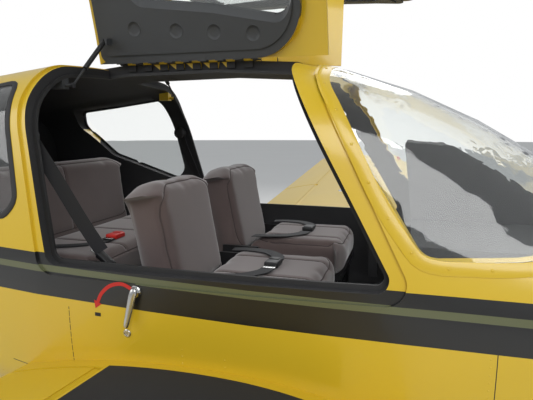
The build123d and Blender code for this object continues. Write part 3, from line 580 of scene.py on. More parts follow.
def material(name, colour, roughness=0.5, metallic=0.0, patch=0.1, patch_size=3.0, grain=0.1,
             grain_size=400.0, change=0.1, **shader_values):
    """A material on object coordinates with the shared surface effect."""
    if name in FINISHES:
        return FINISHES[name]
    made = FINISHES[name] = bpy.data.materials.new(name)
    made.use_nodes = True
    tree = made.node_tree
    shader = tree.nodes["Principled BSDF"]
    place = node(tree, "TexCoord")
    aged = node(tree, "Group", node_tree=surface_group())
    tree.links.new(place.outputs["Object"], aged.inputs["Vector"])
    aged.inputs["Colour"].default_value = (*colour, 1)
    for label, value in (("Patch size", patch_size), ("Patch amount", patch), ("Grain size", grain_size),
                         ("Grain height", grain), ("Roughness", roughness), ("Roughness change", change)):
        aged.inputs[label].default_value = value
    tree.links.new(aged.outputs["Colour"], shader.inputs["Base Color"])
    tree.links.new(aged.outputs["Roughness"], shader.inputs["Roughness"])
    tree.links.new(aged.outputs["Normal"], shader.inputs["Normal"])
    shader.inputs["Metallic"].default_value = metallic
    for key, value in shader_values.items():
        shader.inputs[key.replace("_", " ").title()].default_value = value
    return made


def paint(settings, striped=True, turn=None, name="banded_yellow"):
    """Glossy yellow paint; turn is the swing of a door that carries the bands."""
    if name in FINISHES:
        return FINISHES[name]
    made = material(name, tuple(settings.yellow), roughness=0.32, patch=0.05, patch_size=1.7,
                    grain=0.02, grain_size=160, change=0.12, coat_weight=0.35, coat_roughness=0.12)
    if not striped:
        return made
    tree = made.node_tree
    aged = next(n for n in tree.nodes if n.type == "GROUP")
    place = next(n for n in tree.nodes if n.type == "TEX_COORD")
    vector = place.outputs["Object"]
    if turn is not None:
        # The point turned back about the hinge line: move to the hinge, turn, move back
        away = node(tree, "VectorMath", {0: vector}, operation="SUBTRACT")
        away.inputs[1].default_value = (0, turn * HINGE_Y, HINGE_Z)
        back = node(tree, "VectorRotate", {0: away.outputs[0]}, rotation_type="X_AXIS")
        back.inputs["Angle"].default_value = -turn * DOOR_ANGLE
        home = node(tree, "VectorMath", {0: back.outputs[0]}, operation="ADD")
        home.inputs[1].default_value = (0, turn * HINGE_Y, HINGE_Z)
        vector = home.outputs[0]
    bands = node(tree, "Group", node_tree=stripe_group(settings))
    tree.links.new(vector, bands.inputs["Vector"])
    greyed = mix_colour(tree, bands.outputs["Grey"], tuple(settings.yellow), tuple(settings.pinstripe))
    banded = mix_colour(tree, bands.outputs["Black"], greyed, tuple(settings.black))
    tree.links.new(banded, aged.inputs["Colour"])
    return made


# Colour and index of the panes, and how much of the light on their shadow goes through them
PANE_TINT, PANE_INDEX, PANE_PASSES = (0.96, 0.98, 0.97), 1.45, 0.85


def glass(name):
    """Clear glazing that casts only a faint shadow."""
    if name in FINISHES:
        return FINISHES[name]
    made = FINISHES[name] = bpy.data.materials.new(name)
    made.use_nodes = True
    tree = made.node_tree
    shader = tree.nodes["Principled BSDF"]
    shader.inputs["Base Color"].default_value = (*PANE_TINT, 1)
    shader.inputs["Roughness"].default_value = 0.0
    shader.inputs["IOR"].default_value = PANE_INDEX
    shader.inputs["Transmission Weight"].default_value = 1.0
    path = node(tree, "LightPath")
    passed = maths(tree, "MULTIPLY", path.outputs["Is Shadow Ray"], PANE_PASSES)
    tree.links.new(maths(tree, "SUBTRACT", 1.0, passed), shader.inputs["Alpha"])
    return made


def finishes(scene):
    """The finishes by name."""
    settings = scene.aero_paint
    return {
        "paint": paint(settings),
        "plain": paint(settings, striped=False, name="gloss_yellow"),
        "door_right": paint(settings, turn=-1, name="yellow_door_right"),
        "door_left": paint(settings, turn=1, name="yellow_door_left"),
        # Dark lining for inner faces, also laid in the openings' reveals as painted shade beside the black
        # seal
        "lining": material("cabin_lining", (0.022, 0.022, 0.024), roughness=0.78, grain=0.25, grain_size=700),
        "moulding": material("door_moulding", (0.040, 0.043, 0.047), roughness=0.55, grain=0.3,
                             grain_size=900),
        "seal": material("rubber_seal", (0.018, 0.018, 0.019), roughness=0.6, grain=0.1, grain_size=300),
        "velour": material("seat_cloth", (0.098, 0.070, 0.066), roughness=0.95, patch=0.16, patch_size=9,
                           grain=0.7, grain_size=900, sheen_weight=0.5, sheen_roughness=0.5),
        "piping": material("seat_piping", (0.060, 0.044, 0.042), roughness=0.8, patch=0.1, grain=0.2,
                           grain_size=1200),
        "webbing": material("belt_webbing", (0.012, 0.012, 0.014), roughness=0.7, patch=0.08, grain=0.5,
                            grain_size=1500),
        "grip": material("walkway_grip", (0.020, 0.020, 0.021), roughness=0.95, patch=0.25, grain=1.0,
                         grain_size=900),
        "display": material("dark_display", (0.008, 0.010, 0.010), roughness=0.08, patch=0.0, grain=0.0),
        "green": material("lens_green", (0.010, 0.30, 0.08), roughness=0.15, patch=0.0, grain=0.0),
        "lens_red": material("lens_red", (0.45, 0.010, 0.008), roughness=0.15, patch=0.0, grain=0.0),
        "carpet": material("floor_carpet", (0.03, 0.03, 0.032), roughness=1.0, patch=0.2, grain=1.0,
                           grain_size=600),
        "chrome": material("satin_chrome", (0.55, 0.55, 0.54), roughness=0.25, metallic=1.0, grain=0.05,
                           grain_size=120),
        "steel": material("plain_steel", (0.30, 0.30, 0.30), roughness=0.4, metallic=1.0, grain=0.1),
        "dark_steel": material("dark_steel", (0.075, 0.075, 0.078), roughness=0.35, metallic=1.0, grain=0.1),
        "alloy": material("alloy", (0.50, 0.51, 0.52), roughness=0.45, metallic=1.0, grain=0.1),
        "black_plastic": material("black_plastic", (0.015, 0.015, 0.016), roughness=0.45, grain=0.2,
                                  grain_size=800),
        "grey_plastic": material("grey_plastic", (0.22, 0.22, 0.23), roughness=0.6, grain=0.25,
                                 grain_size=700),
        "hood": material("panel_hood", (0.030, 0.031, 0.034), roughness=0.85, grain=0.5, grain_size=500),
        "tyre": material("tyre_black", (0.020, 0.020, 0.020), roughness=0.8, patch=0.3, grain=0.3),
        "white": material("white_paint", (0.75, 0.75, 0.73), roughness=0.35, patch=0.04, grain=0.02),
        "prop": material("propeller_black", (0.016, 0.016, 0.017), roughness=0.4, grain=0.05),
        "engine": material("cast_grey", (0.09, 0.09, 0.095), roughness=0.6, metallic=0.6, grain=0.5,
                           grain_size=150),
        "exhaust": material("exhaust_steel", (0.16, 0.13, 0.11), roughness=0.55, metallic=1.0, patch=0.4,
                            patch_size=20),
        "glass": glass("clear_pane"),
        "red": material("signal_red", (0.55, 0.018, 0.012), roughness=0.4, patch=0.05, grain=0.02),
    }


# The photograph's camera: its place on the plan, the way that it looks and its lens on a sensor in mm
CAMERA_PLAN, CAMERA_WAY = (1.85, -1.835), (-0.2825, 0.9476, -0.149)
CAMERA_LENS, CAMERA_SENSOR = 32.42, 36
# Round lamps by name: place, width in metres and power in watts, and the point that they face
LAMPS = (("key", (4.5, -6.0, 6.0), 5.0, 290), ("fill", (-5.0, -5.0, 4.5), 5.0, 140),
         ("far", (0.5, 6.5, 6.5), 6.0, 190))
LAMPS_FACE = Vector((0.8, 0, 1.0))
# The floor's radius, and how far it lies below the tyres
FLOOR_RADIUS, FLOOR_DROP = 60, 0.001


class AERO_OT_stage(bpy.types.Operator):
    """Floor, soft light and the camera at the photograph's viewing angle"""

    bl_idname = "aero.stage"
    bl_label = "Stage"

    def execute(self, context):
        scene = context.scene
        settings = scene.aero_stage
        scene.view_settings.view_transform = "Standard"
        deselect()
        bpy.ops.object.camera_add(location=(*CAMERA_PLAN, settings.camera_height))
        camera = context.active_object
        camera.rotation_euler = Vector(CAMERA_WAY).to_track_quat("-Z", "Y").to_euler()
        camera.data.lens = CAMERA_LENS
        camera.data.sensor_width = CAMERA_SENSOR
        scene.camera = camera
        bpy.ops.mesh.primitive_circle_add(vertices=96, radius=FLOOR_RADIUS, fill_type="NGON",
                                          location=(0, 0, -FLOOR_DROP))
        floor = context.active_object
        floor.name = "floor"
        floor.data.materials.append(self.floor_finish(settings))
        self.lamps()
        self.sky(scene, settings)
        return {"FINISHED"}

    def floor_finish(self, settings):
        return material("pale_floor", tuple(settings.floor_colour), roughness=0.9, patch=0.03,
                        patch_size=0.4, grain=0.1, grain_size=60)

    def lamps(self):
        """Three wide area lamps: high on the camera's side, ahead and behind."""
        for name, place, size, power in LAMPS:
            deselect()
            bpy.ops.object.light_add(type="AREA", location=place)
            lamp = bpy.context.active_object
            lamp.name = name
            lamp.data.shape = "DISK"
            lamp.data.size = size
            lamp.data.energy = power
            aim = LAMPS_FACE - Vector(place)
            lamp.rotation_euler = aim.to_track_quat("-Z", "Y").to_euler()

    def sky(self, scene, settings):
        """Soft light from all round, and plain white where the camera looks past the object."""
        world = bpy.data.worlds.new("studio")
        scene.world = world
        world.use_nodes = True
        tree = world.node_tree
        light = tree.nodes["Background"]
        light.inputs["Color"].default_value = (0.93, 0.96, 1.0, 1)
        light.inputs["Strength"].default_value = settings.sky_light
        white = node(tree, "Background", in_0=(1, 1, 1, 1), in_1=1.0)
        path = node(tree, "LightPath")
        seen = maths(tree, "MAXIMUM", path.outputs["Is Camera Ray"], path.outputs["Is Transmission Ray"])
        mixed = node(tree, "MixShader", {0: seen, 1: light.outputs[0], 2: white.outputs[0]})
        tree.links.new(mixed.outputs[0], tree.nodes["World Output"].inputs["Surface"])


# Side views of the doorway's and rear window's reveals, a little wider than the openings: station, height
# These reveals are coloured with the dark lining: partly the black seal there, partly painted shade in the
# openings' edges
REVEALS = (((0.660, 1.920), (0.660, 1.662), (0.778, 1.152), (1.852, 1.152), (1.512, 1.765), (1.512, 1.920)),
           ((0.098, 1.676), (0.602, 1.745), (0.674, 1.350), (0.610, 1.280), (0.236, 1.416), (0.066, 1.590)))


# Cosine with the way outwards below which a face is an inner one, and below which it may be a reveal's
INNER_FACING, REVEAL_FACING = -0.3, 0.35


def in_outline(x, z, outline):
    """True inside a closed outline of (x, z) corners."""
    inside = False
    for (x0, z0), (x1, z1) in zip(outline, outline[1:] + outline[:1]):
        if (z0 > z) != (z1 > z) and x < x0 + (x1 - x0) * (z - z0) / (z1 - z0):
            inside = not inside
    return inside


def is_inside(centre, normal):
    """True on the inner faces of the fuselage shell and in the reveals of its openings, where the dark lining
    is partly the black seal and partly painted shade.
    """
    radial = Vector((0, centre.y, centre.z - SHELL_CENTRE))
    if radial.length < 0.05:
        return False
    if centre.x < CABIN_AFT and normal.x > 0.9 or centre.x > CABIN_FRONT and normal.x < -0.9:
        return True
    if math.hypot(abs(centre.y) - HINGE_Y, centre.z - HINGE_Z) < KNUCKLE_REACH:
        return False
    facing = normal.dot(radial.normalized())
    if facing < INNER_FACING:
        return True
    # A reveal's face is darkened: painted shade in the opening's edge, together with the black seal there
    return facing < REVEAL_FACING and any(in_outline(centre.x, centre.z, outline) for outline in REVEALS)


class AERO_OT_shell(bpy.types.Operator):
    """Paint, bands and lining of the fuselage, wings and tail, with painted shade in the reveals of its
    openings
    """

    bl_idname = "aero.shell"
    bl_label = "Fuselage and wings"

    def execute(self, context):
        done = finishes(context.scene)
        inside = [done["paint"], done["lining"]]
        for name in ("cabin_shell", "tail_cone", "cowl_upper", "cowl_lower"):
            # Inner faces take the lining, and the openings' reveals take it too as painted shade
            dressed(name, "root", inside, lambda c, n: 1 if is_inside(c, n) else 0)
        for name in ("fin", "main_spats"):
            dressed(name, "root", [done["plain"]])
        dressed("rudder", "rudder", [done["plain"]])
        dressed("stabilator", "stabilator", [done["plain"]])
        dressed("baggage_door", "baggage_door", [done["paint"]])
        dressed("nose_spat", "nose_fork", [done["plain"]])
        for side in ("left", "right"):
            dressed("wing_" + side, "root", [done["plain"]])
            for part in ("flap", "aileron"):
                dressed(f"{part}_{side}", f"{part}_{side}", [done["plain"]])
        return {"FINISHED"}


class AERO_OT_glazing(bpy.types.Operator):
    """Windscreen and windows"""

    bl_idname = "aero.glazing"
    bl_label = "Glazing"

    def execute(self, context):
        done = finishes(context.scene)
        dressed("windscreen", "root", [done["glass"]], degrees=40)
        dressed("rear_windows", "root", [done["glass"]], degrees=40)
        for side, _ in SIDES:
            dressed("door_window_" + side, "door_" + side, [done["glass"]], degrees=40)
        return {"FINISHED"}


# Along the windscreen's edge, from its top corner down and forward: station, out, height
SCREEN_EDGE = ((1.606, 0.30, 1.775), (1.604, 0.42, 1.745), (1.615, 0.49, 1.698), (1.661, 0.53, 1.606),
               (1.719, 0.57, 1.500), (1.789, 0.61, 1.378), (1.853, 0.63, 1.288), (1.884, 0.64, 1.254),
               (1.928, 0.64, 1.240), (2.000, 0.62, 1.238), (2.120, 0.59, 1.240), (2.300, 0.50, 1.262),
               (2.500, 0.36, 1.286))
# The rear window in side view: station and height
REAR_WINDOW = ((0.112, 1.668), (0.592, 1.733), (0.662, 1.352), (0.606, 1.292), (0.242, 1.428), (0.080, 1.588))
REAR_WINDOW_RADII = (0.040, 0.045, 0.060, 0.050, 0.080, 0.050)
# Width and height of the windscreen's strip and of the rear window's seal
STRIP_WIDE, STRIP_HIGH, SEAL_WIDE, SEAL_HIGH = 0.036, 0.0022, 0.020, 0.0028
# The strip's screws: spacing, radius and height of a head
SCREW_SPACING, SCREW_RADIUS, SCREW_HEIGHT = 0.105, 0.0042, 0.0018


class AERO_OT_frames(bpy.types.Operator):
    """Screwed strips along the windscreen's edges and seals round the rear windows"""

    bl_idname = "aero.frames"
    bl_label = "Window strips"

    def execute(self, context):
        done = finishes(context.scene)
        for side, sign in SIDES:
            strip = skin_strip("screen_strip_" + side, SCREEN_EDGE, sign, STRIP_WIDE, STRIP_HIGH)
            finish(strip, "root", done["plain"], "yellow_paint")
            places = [on_skin(place, sign) for place in run_through(SCREEN_EDGE, SCREW_SPACING)]
            heads = [(point + normal * STRIP_HIGH, normal) for point, normal in places[1:-1]]
            screws = scattered("screen_screws_" + side, dome(SCREW_RADIUS, SCREW_HEIGHT), heads)
            finish(screws, "root", done["plain"], "yellow_paint")
            outline = evenly(rounded(REAR_WINDOW, REAR_WINDOW_RADII), 0.016)
            feet = [from_side(x, z, sign) for x, z in outline]
            seal = strip_on("rear_window_seal_" + side, feet, SEAL_WIDE, SEAL_HIGH)
            finish(seal, "root", done["seal"], "black_rubber")
        return {"FINISHED"}


# The door frame's side view, inside which the open door's inner side is covered: station, height
DOOR_FRAME = ((0.674, 1.920), (0.674, 1.660), (0.790, 1.166), (1.806, 1.166), (1.479, 1.750), (1.479, 1.920))
# Radius of the covered side's front corner, and how far out its edge beside the hinge lies
FRONT_CORNER, HINGE_EDGE = 0.170, 0.119
# Cosine with the way outwards above which a face of the door is an outer one
OUTER_FACING = 0.2


def door_lining(sign):
    """Picks the covered faces of an open door: its inner side, inside the frame's outline."""
    hinge = Vector((0, sign * HINGE_Y, HINGE_Z))
    turn = Matrix.Rotation(-sign * DOOR_ANGLE, 3, "X")

    def pick(centre, normal):
        shut, facing = hinge + turn @ (centre - hinge), turn @ normal
        outward = Vector((0, shut.y, shut.z - SKIN_CENTRE)).normalized()
        if facing.dot(outward) > OUTER_FACING or not in_outline(shut.x, shut.z, DOOR_FRAME):
            return 0
        # Beside the hinge the covered panel ends in a wide curve at the front
        corner_x, corner_y = DOOR_FRAME[-1][0] - FRONT_CORNER, HINGE_EDGE + FRONT_CORNER
        out = sign * shut.y
        if shut.x > corner_x and out < corner_y:
            return 1 if math.hypot(shut.x - corner_x, corner_y - out) < FRONT_CORNER + 0.002 else 0
        return 1

    return pick


# Round hollows in the open door's inner moulding: station, out, height
DIMPLES = ((0.834, 0.173, 1.947), (1.005, 0.167, 1.932), (1.154, 0.163, 1.921), (1.304, 0.169, 1.908))
# The way that they face: out, and up; the hole's radius, and half the length of the rod that cuts it
DIMPLE_WAY, DIMPLE_HOLE, HALF_CUT = (0.972, -0.235), 0.027, 0.03
# A hollow's section, from its rim to its middle and back below: height above the moulding, out
DIMPLE_SECTION = (
    (0.0008, 0.0285), (0.0014, 0.0275), (0.0008, 0.0258), (-0.0022, 0.0225), (-0.0042, 0.0150),
    (-0.0048, 0.0002), (-0.0060, 0.0002), (-0.0055, 0.0155), (-0.0034, 0.0240), (-0.0012, 0.0285))


class AERO_OT_doors(bpy.types.Operator):
    """Door skins, inner mouldings, seals and struts"""

    bl_idname = "aero.doors"
    bl_label = "Doors"

    def execute(self, context):
        done = finishes(context.scene)
        for side, sign in SIDES:
            dressed("door_skin_" + side, "door_" + side, [done["door_" + side], done["moulding"]],
                    door_lining(sign))
            facing = Vector((0, sign * DIMPLE_WAY[0], DIMPLE_WAY[1]))
            places = [(Vector((x, sign * y, z)), facing) for x, y, z in DIMPLES]
            dressed("door_trim_" + side, "door_" + side, [done["moulding"]],
                    shape=lambda trim: self.pierce(trim, places))
            cup = lathe("dimples_" + side, DIMPLE_SECTION, steps=40)
            cups = copies("dimples_" + side, cup, [standing(point, out) for point, out in places], 60)
            finish(cups, "door_" + side, done["moulding"], "dark_trim")
            coat("strut_tube_" + side, done["black_plastic"])
            coat("strut_rod_" + side, done["dark_steel"])
        dressed("strut_brackets", "root", [done["plain"], done["moulding"]],
                lambda c, n: 1 if c.y < 0 else 0)
        dressed("door_seals", "root", [done["seal"]])
        return {"FINISHED"}

    def pierce(self, trim, places):
        """Cuts the round holes that the hollows sit in."""
        for point, out in places:
            cut_away(trim, rod("cutter", point + out * HALF_CUT, point - out * HALF_CUT, DIMPLE_HOLE, 40))


def seat_line(centre_y, half, low, high, corner, place, parted=()):
    """Seams of one pad face: a rounded ring and straight runs, each across (y) and along (a)."""
    left, right = centre_y - half, centre_y + half
    ring = rounded(((left, low), (right, low), (right, high), (left, high)), (corner,) * 4)
    lines = [ring] + [((centre_y + y, low + 0.002), (centre_y + y, high - 0.002)) for y in parted]
    return [[place(y, a) for y, a in line] for line in lines]


def back_place(foot_x, foot_z, degrees):
    """Puts an across and along place on the front of a leaning back."""
    lean = math.radians(degrees)
    return lambda y, a: Vector((foot_x - a * math.sin(lean), y, foot_z + a * math.cos(lean)))


def top_place(height):
    """Puts an across and along place on a level near the top of a cushion."""
    return lambda y, a: Vector((a, y, height))


def back_line(foot_x, foot_z, degrees):
    """The foot of a leaning back's front and the way up it."""
    return (foot_x, 0, foot_z), (-math.sin(math.radians(degrees)), 0, math.cos(math.radians(degrees)))


FRONT_SEATS = (-FRONT_SEAT_Y, FRONT_SEAT_Y)
# The foot of each back's front and its lean: station, height and degrees
FRONT_BACK, REAR_BACK = (1.165, 0.985, 11), (0.382, 1.010, 8)
# A cushion's measures run forward from the frame's origin
FORWARD = ((0, 0, 0), (1, 0, 0))

# Each pad's plan for rounding: a point and way along it, centres and half width, its ends and their radii
ROUNDED = {
    "front_seat_cushions": (*FORWARD, FRONT_SEATS, 0.235, 1.175, 1.640, (0.03, 0.09)),
    "front_seat_backs": (*back_line(*FRONT_BACK), FRONT_SEATS, 0.235, 0.0, 0.465, (0.04, 0.11)),
    "rear_bench_cushion": (*FORWARD, (0.0,), 0.500, 0.390, 0.850, (0.03, 0.08)),
    "rear_bench_back": (*back_line(*REAR_BACK), (0.0,), 0.500, 0.0, 0.460, (0.04, 0.13)),
}

# Each pad's seams and the way that they are seen
SEAMS_OF = {
    "front_seat_cushions": (
        [line for y in FRONT_SEATS
         for line in seat_line(y, 0.185, 1.215, 1.590, 0.06, top_place(1.1), (-0.105, 0.105))], (0, 0, -1)),
    "front_seat_backs": (
        [line for y in FRONT_SEATS
         for line in seat_line(y, 0.185, 0.050, 0.415, 0.09, back_place(*FRONT_BACK))], (-1, 0, 0)),
    "rear_bench_cushion": (
        seat_line(0, 0.455, 0.435, 0.805, 0.06, top_place(1.12), (0.0, -0.235, 0.235)), (0, 0, -1)),
    "rear_bench_back": (
        seat_line(0, 0.450, 0.110, 0.405, 0.09, back_place(*REAR_BACK), (0.0,)), (-1, 0, 0)),
}

# The cloth simulation of the pads: mesh size, first shrinking, longest move of a point, frames, pressure
PAD_MESH, PAD_SHRINK, PAD_MOVE, PAD_FRAMES, PAD_PRESSURE = 0.009, 0.012, 0.024, 16, 4
# Depth of a seam in a pad, how far the cloth beside it gives way, and the piping's radius
SEAM_DEPTH, SEAM_REACH, PIPING_RADIUS = 0.005, 0.018, 0.0024


class AERO_OT_cabin(bpy.types.Operator):
    """Floor, panel, hood, controls and seats"""

    bl_idname = "aero.cabin"
    bl_label = "Cabin"

    def execute(self, context):
        done = finishes(context.scene)
        coat("cabin_floor", done["carpet"])
        coat("instrument_panel", done["grey_plastic"])
        dressed("glareshield", "root", [done["hood"]])
        coat("control_yokes", done["black_plastic"])
        coat("centre_console", done["grey_plastic"])
        coat("seat_bases", done["black_plastic"])
        for name in SEAMS_OF:
            self.cushion(name, done["velour"], done["piping"])
        return {"FINISHED"}

    def cushion(self, name, velour, piping):
        """A padded piece in place of a CAD one, with its seams."""
        pad = copied(name, name + "_padded")
        self.swell(pad, ROUNDED[name])
        seams, way = SEAMS_OF[name]
        for i, line in enumerate(seams):
            self.sew(pad, f"piping_{name}_{i}", line, Vector(way), piping)
        smooth(pad, 60)
        finish(pad, "root", velour)
        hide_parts(name)

    def round_off(self, pad, origin, way, centres, half, low, high, radii):
        """Draws the pad's corners in to round ones, seen square to its face."""
        way = Vector(way).normalized()
        for vertex in pad.data.vertices:
            along = (vertex.co - Vector(origin)).dot(way)
            out = vertex.co.y - min(centres, key=lambda c: abs(vertex.co.y - c))
            for end, inward, radius in ((low, -1, radii[0]), (high, 1, radii[1])):
                up, aside = (along - end) * inward + radius, abs(out) - half + radius
                if up > 0 and aside > 0:
                    less = max(up, aside) / math.hypot(up, aside) - 1
                    vertex.co += way * (inward * up * less) + Vector((0, math.copysign(aside * less, out), 0))

    def swell(self, pad, plan):
        """Fills a pad by cloth simulation and limits how far each point moves."""
        apply(pad, "REMESH", mode="VOXEL", voxel_size=PAD_MESH)
        self.round_off(pad, *plan)
        apply(pad, "DISPLACE", strength=-PAD_SHRINK, mid_level=0)
        rest = [v.co.copy() for v in pad.data.vertices]
        choose(pad)
        cloth = pad.modifiers.new("cloth", "CLOTH")
        cloth.settings.use_pressure = True
        cloth.settings.uniform_pressure_force = PAD_PRESSURE
        cloth.settings.effector_weights.gravity = 0
        for step in range(1, PAD_FRAMES + 1):
            bpy.context.scene.frame_set(step)
        bpy.ops.object.modifier_apply(modifier=cloth.name)
        bpy.context.scene.frame_set(1)
        for vertex, home in zip(pad.data.vertices, rest):
            move = vertex.co - home
            if move.length > PAD_MOVE:
                vertex.co = home + move.normalized() * PAD_MOVE
        apply(pad, "SMOOTH", factor=0.6, iterations=14)
        apply(pad, "SUBSURF", levels=1)

    def sew(self, pad, name, line, way, piping):
        """Pulls a seam into a pad along a line seen one way and lays a thin piping in it."""
        tree = tree_of(pad)
        feet = [tree.ray_cast(point - way * 0.25, way)[:2] for point in evenly(line, 0.006)]
        feet = [foot for foot in feet if foot[0] is not None]
        places = KDTree(len(feet))
        for i, (point, _) in enumerate(feet):
            places.insert(point, i)
        places.balance()
        for vertex in pad.data.vertices:
            _, _, gap = places.find(vertex.co)
            if gap < SEAM_REACH:
                vertex.co += way * (SEAM_DEPTH * (1 - gap / SEAM_REACH) ** 2)
        path = [point + way * (SEAM_DEPTH * 0.75) for point, _ in feet[::3]]
        cord = tube(name, path, PIPING_RADIUS, 8, 0.012)
        finish(cord, "root", piping, "velour")


# Width and thickness of the belts
WEBBING_WIDE, WEBBING_THICK = 0.046, 0.0018


def webbing(name, path, facing, look):
    """Flat belt webbing along a smooth path, its face towards the given direction."""
    spots = run_through(path, 0.02)
    facing = Vector(facing).normalized()
    rows = []
    for i, spot in enumerate(spots):
        across = heading(spots, i).cross(facing).normalized() * WEBBING_WIDE
        rows.append([spot + across * share for share in (-0.5, -0.25, 0, 0.25, 0.5)])
    return finish(smooth(grid_sheet(name, rows, WEBBING_THICK), 50), "root", look, "black_rubber")


def buckle(name, place, out, along, body_look, tongue_look):
    """A belt's housing with its release key, and the steel tongue in it."""
    lie = laid(place, Vector(along).normalized(), Vector(out).normalized())
    case = box(name, (-0.035, -0.024, 0.0), (0.035, 0.024, 0.020), 0.005, 3)
    key = box(name + "_key", (-0.030, -0.017, 0.0195), (-0.006, 0.017, 0.0225), 0.0012, 2)
    tongue = box(name + "_tongue", (0.030, -0.021, 0.007), (0.062, 0.021, 0.0095), 0.001, 2)
    cut_away(tongue, box(name + "_slot", (0.040, -0.016, 0.005), (0.048, 0.016, 0.012)))
    for piece, look, slot in ((case, body_look, "black_metal"), (key, body_look, "black_metal"),
                              (tongue, tongue_look, "chrome_metal")):
        piece.matrix_world = lie
        finish(smooth(settle(piece), 35), "root", look, slot)


# The belts' routes on the port side, from their upper or outer end: station, out, height
REAR_SHOULDER = ((0.662, 0.545, 1.545), (0.680, 0.528, 1.500), (0.735, 0.508, 1.392), (0.800, 0.490, 1.268),
                 (0.862, 0.476, 1.165))
REAR_LAP = ((0.430, 0.400, 1.150), (0.520, 0.385, 1.138), (0.640, 0.330, 1.136), (0.700, 0.255, 1.136),
            (0.705, 0.200, 1.137))
# The front lap belts end this far either side of the seat's middle; along each: station, inwards, height
FRONT_LAP_SPREAD = 0.175
FRONT_LAP = ((1.205, 0.000, 1.112), (1.270, 0.000, 1.116), (1.350, 0.020, 1.118), (1.405, 0.075, 1.119),
             (1.415, 0.120, 1.119))
# The rear shoulder belt's reel, from end to end, and its radius
REEL, REEL_RADIUS = ((0.655, 0.525, 1.552), (0.655, 0.575, 1.552)), 0.030


def on_side(sign, *places):
    """Places of the port side, as points on either side."""
    return [Vector((x, sign * y, z)) for x, y, z in places]


class AERO_OT_belts(bpy.types.Operator):
    """Lap and shoulder belts with buckles"""

    bl_idname = "aero.belts"
    bl_label = "Belts"

    def execute(self, context):
        done = finishes(context.scene)
        for side, sign in SIDES:
            self.rear(done, side, sign)
            self.front(done, side, sign)
        return {"FINISHED"}

    def rear(self, done, side, sign):
        """A shoulder belt from its reel to a hanging buckle, and a lap belt on the bench."""
        facing, out, along = on_side(sign, (0.25, 0.9, 0.35), (0.2, 0.25, 1.0), (-0.45, 0.05, 0.9))
        hanging, lying, inward = on_side(sign, (0.868, 0.470, 1.128), (0.705, 0.165, 1.133), (0, 1, 0))
        webbing("rear_shoulder_belt_" + side, on_side(sign, *REAR_SHOULDER), facing, done["webbing"])
        reel = rod("rear_reel_" + side, *on_side(sign, *REEL), REEL_RADIUS, 32, 0.004)
        finish(reel, "root", done["black_plastic"], "black_metal")
        buckle("rear_buckle_" + side, hanging, out, along, done["black_plastic"], done["chrome"])
        webbing("rear_lap_belt_" + side, on_side(sign, *REAR_LAP), (0, 0, 1), done["webbing"])
        buckle("rear_lap_buckle_" + side, lying, (0, 0, 1), inward, done["red"], done["chrome"])

    def front(self, done, side, sign):
        """The two halves of a lap belt on a front seat, and their buckle."""
        for label, seat_y, turn_in in (("outer", FRONT_SEAT_Y + FRONT_LAP_SPREAD, -1),
                                       ("inner", FRONT_SEAT_Y - FRONT_LAP_SPREAD, 1)):
            lap = on_side(sign, *((x, seat_y + turn_in * inwards, z) for x, inwards, z in FRONT_LAP))
            webbing(f"front_lap_{label}_{side}", lap, (0, 0, 1), done["webbing"])
        place, inward = on_side(sign, (1.417, FRONT_SEAT_Y, 1.113), (0, 1, 0))
        buckle("front_buckle_" + side, place, (0, 0, 1), inward, done["black_plastic"], done["chrome"])


# Sections of turned pieces: height above the panel and out from the axis, a dial's as shares of its radius
BEZEL = ((0.02, 0.80), (0.10, 0.80), (0.15, 0.86), (0.15, 0.96), (0.08, 1.0), (-0.02, 1.0), (-0.02, 0.80))
DIAL_FACE = ((0.0, 0.001), (0.0, 0.82), (0.03, 0.82), (0.03, 0.001))
RADIO_KNOB = ((0.0, 0.0002), (0.0, 0.0085), (0.009, 0.008), (0.010, 0.005), (0.019, 0.0045),
              (0.020, 0.0038), (0.020, 0.0002))
BREAKER = ((0.0, 0.0002), (0.0, 0.006), (0.002, 0.006), (0.002, 0.0035), (0.008, 0.0032), (0.009, 0.0002))
PULL_KNOB = ((0.0, 0.0002), (0.0, 0.009), (0.004, 0.009), (0.004, 0.0035), (0.050, 0.0035),
             (0.052, 0.010), (0.060, 0.014), (0.070, 0.013), (0.074, 0.008), (0.075, 0.0002))
# Blocks of dials: their radius, their places to port of the middle and their heights
DIAL_BLOCKS = (
    (0.041, (0.262, 0.165, 0.068), (1.432, 1.335)), (0.030, (0.400, 0.325, 0.250, 0.175), (1.205,)),
    (0.030, (-0.035,), (1.455, 1.385, 1.315)), (0.030, (-0.300, -0.380), (1.190,)))
# How far each dial's needle is turned, in radians
NEEDLE_TURNS = (0.6, 2.1, -0.4, 1.3, 3.3, -1.9, 0.2, 2.7, -2.2, 1.0, -0.9, 2.4, 0.9, -1.2, 1.8)
# The radios' middle and heights, and their cases' depth
RADIO_Y, RADIO_HEIGHTS, RADIO_DEEP = -0.145, (1.228, 1.180, 1.132, 1.084), 0.012
# Rows of rockers and breakers: the first one's place, the step to the next, how many, and the heights
ROCKER_Y, ROCKER_STEP, ROCKER_COUNT, ROCKER_Z = 0.140, 0.024, 12, 1.110
BREAKER_Y, BREAKER_STEP, BREAKER_COUNT, BREAKER_HEIGHTS = -0.260, -0.026, 7, (1.09, 1.06, 1.03)
# The engine controls' places and height
PULL_PLACES, PULL_Z = (0.055, 0.015, -0.025), 1.045


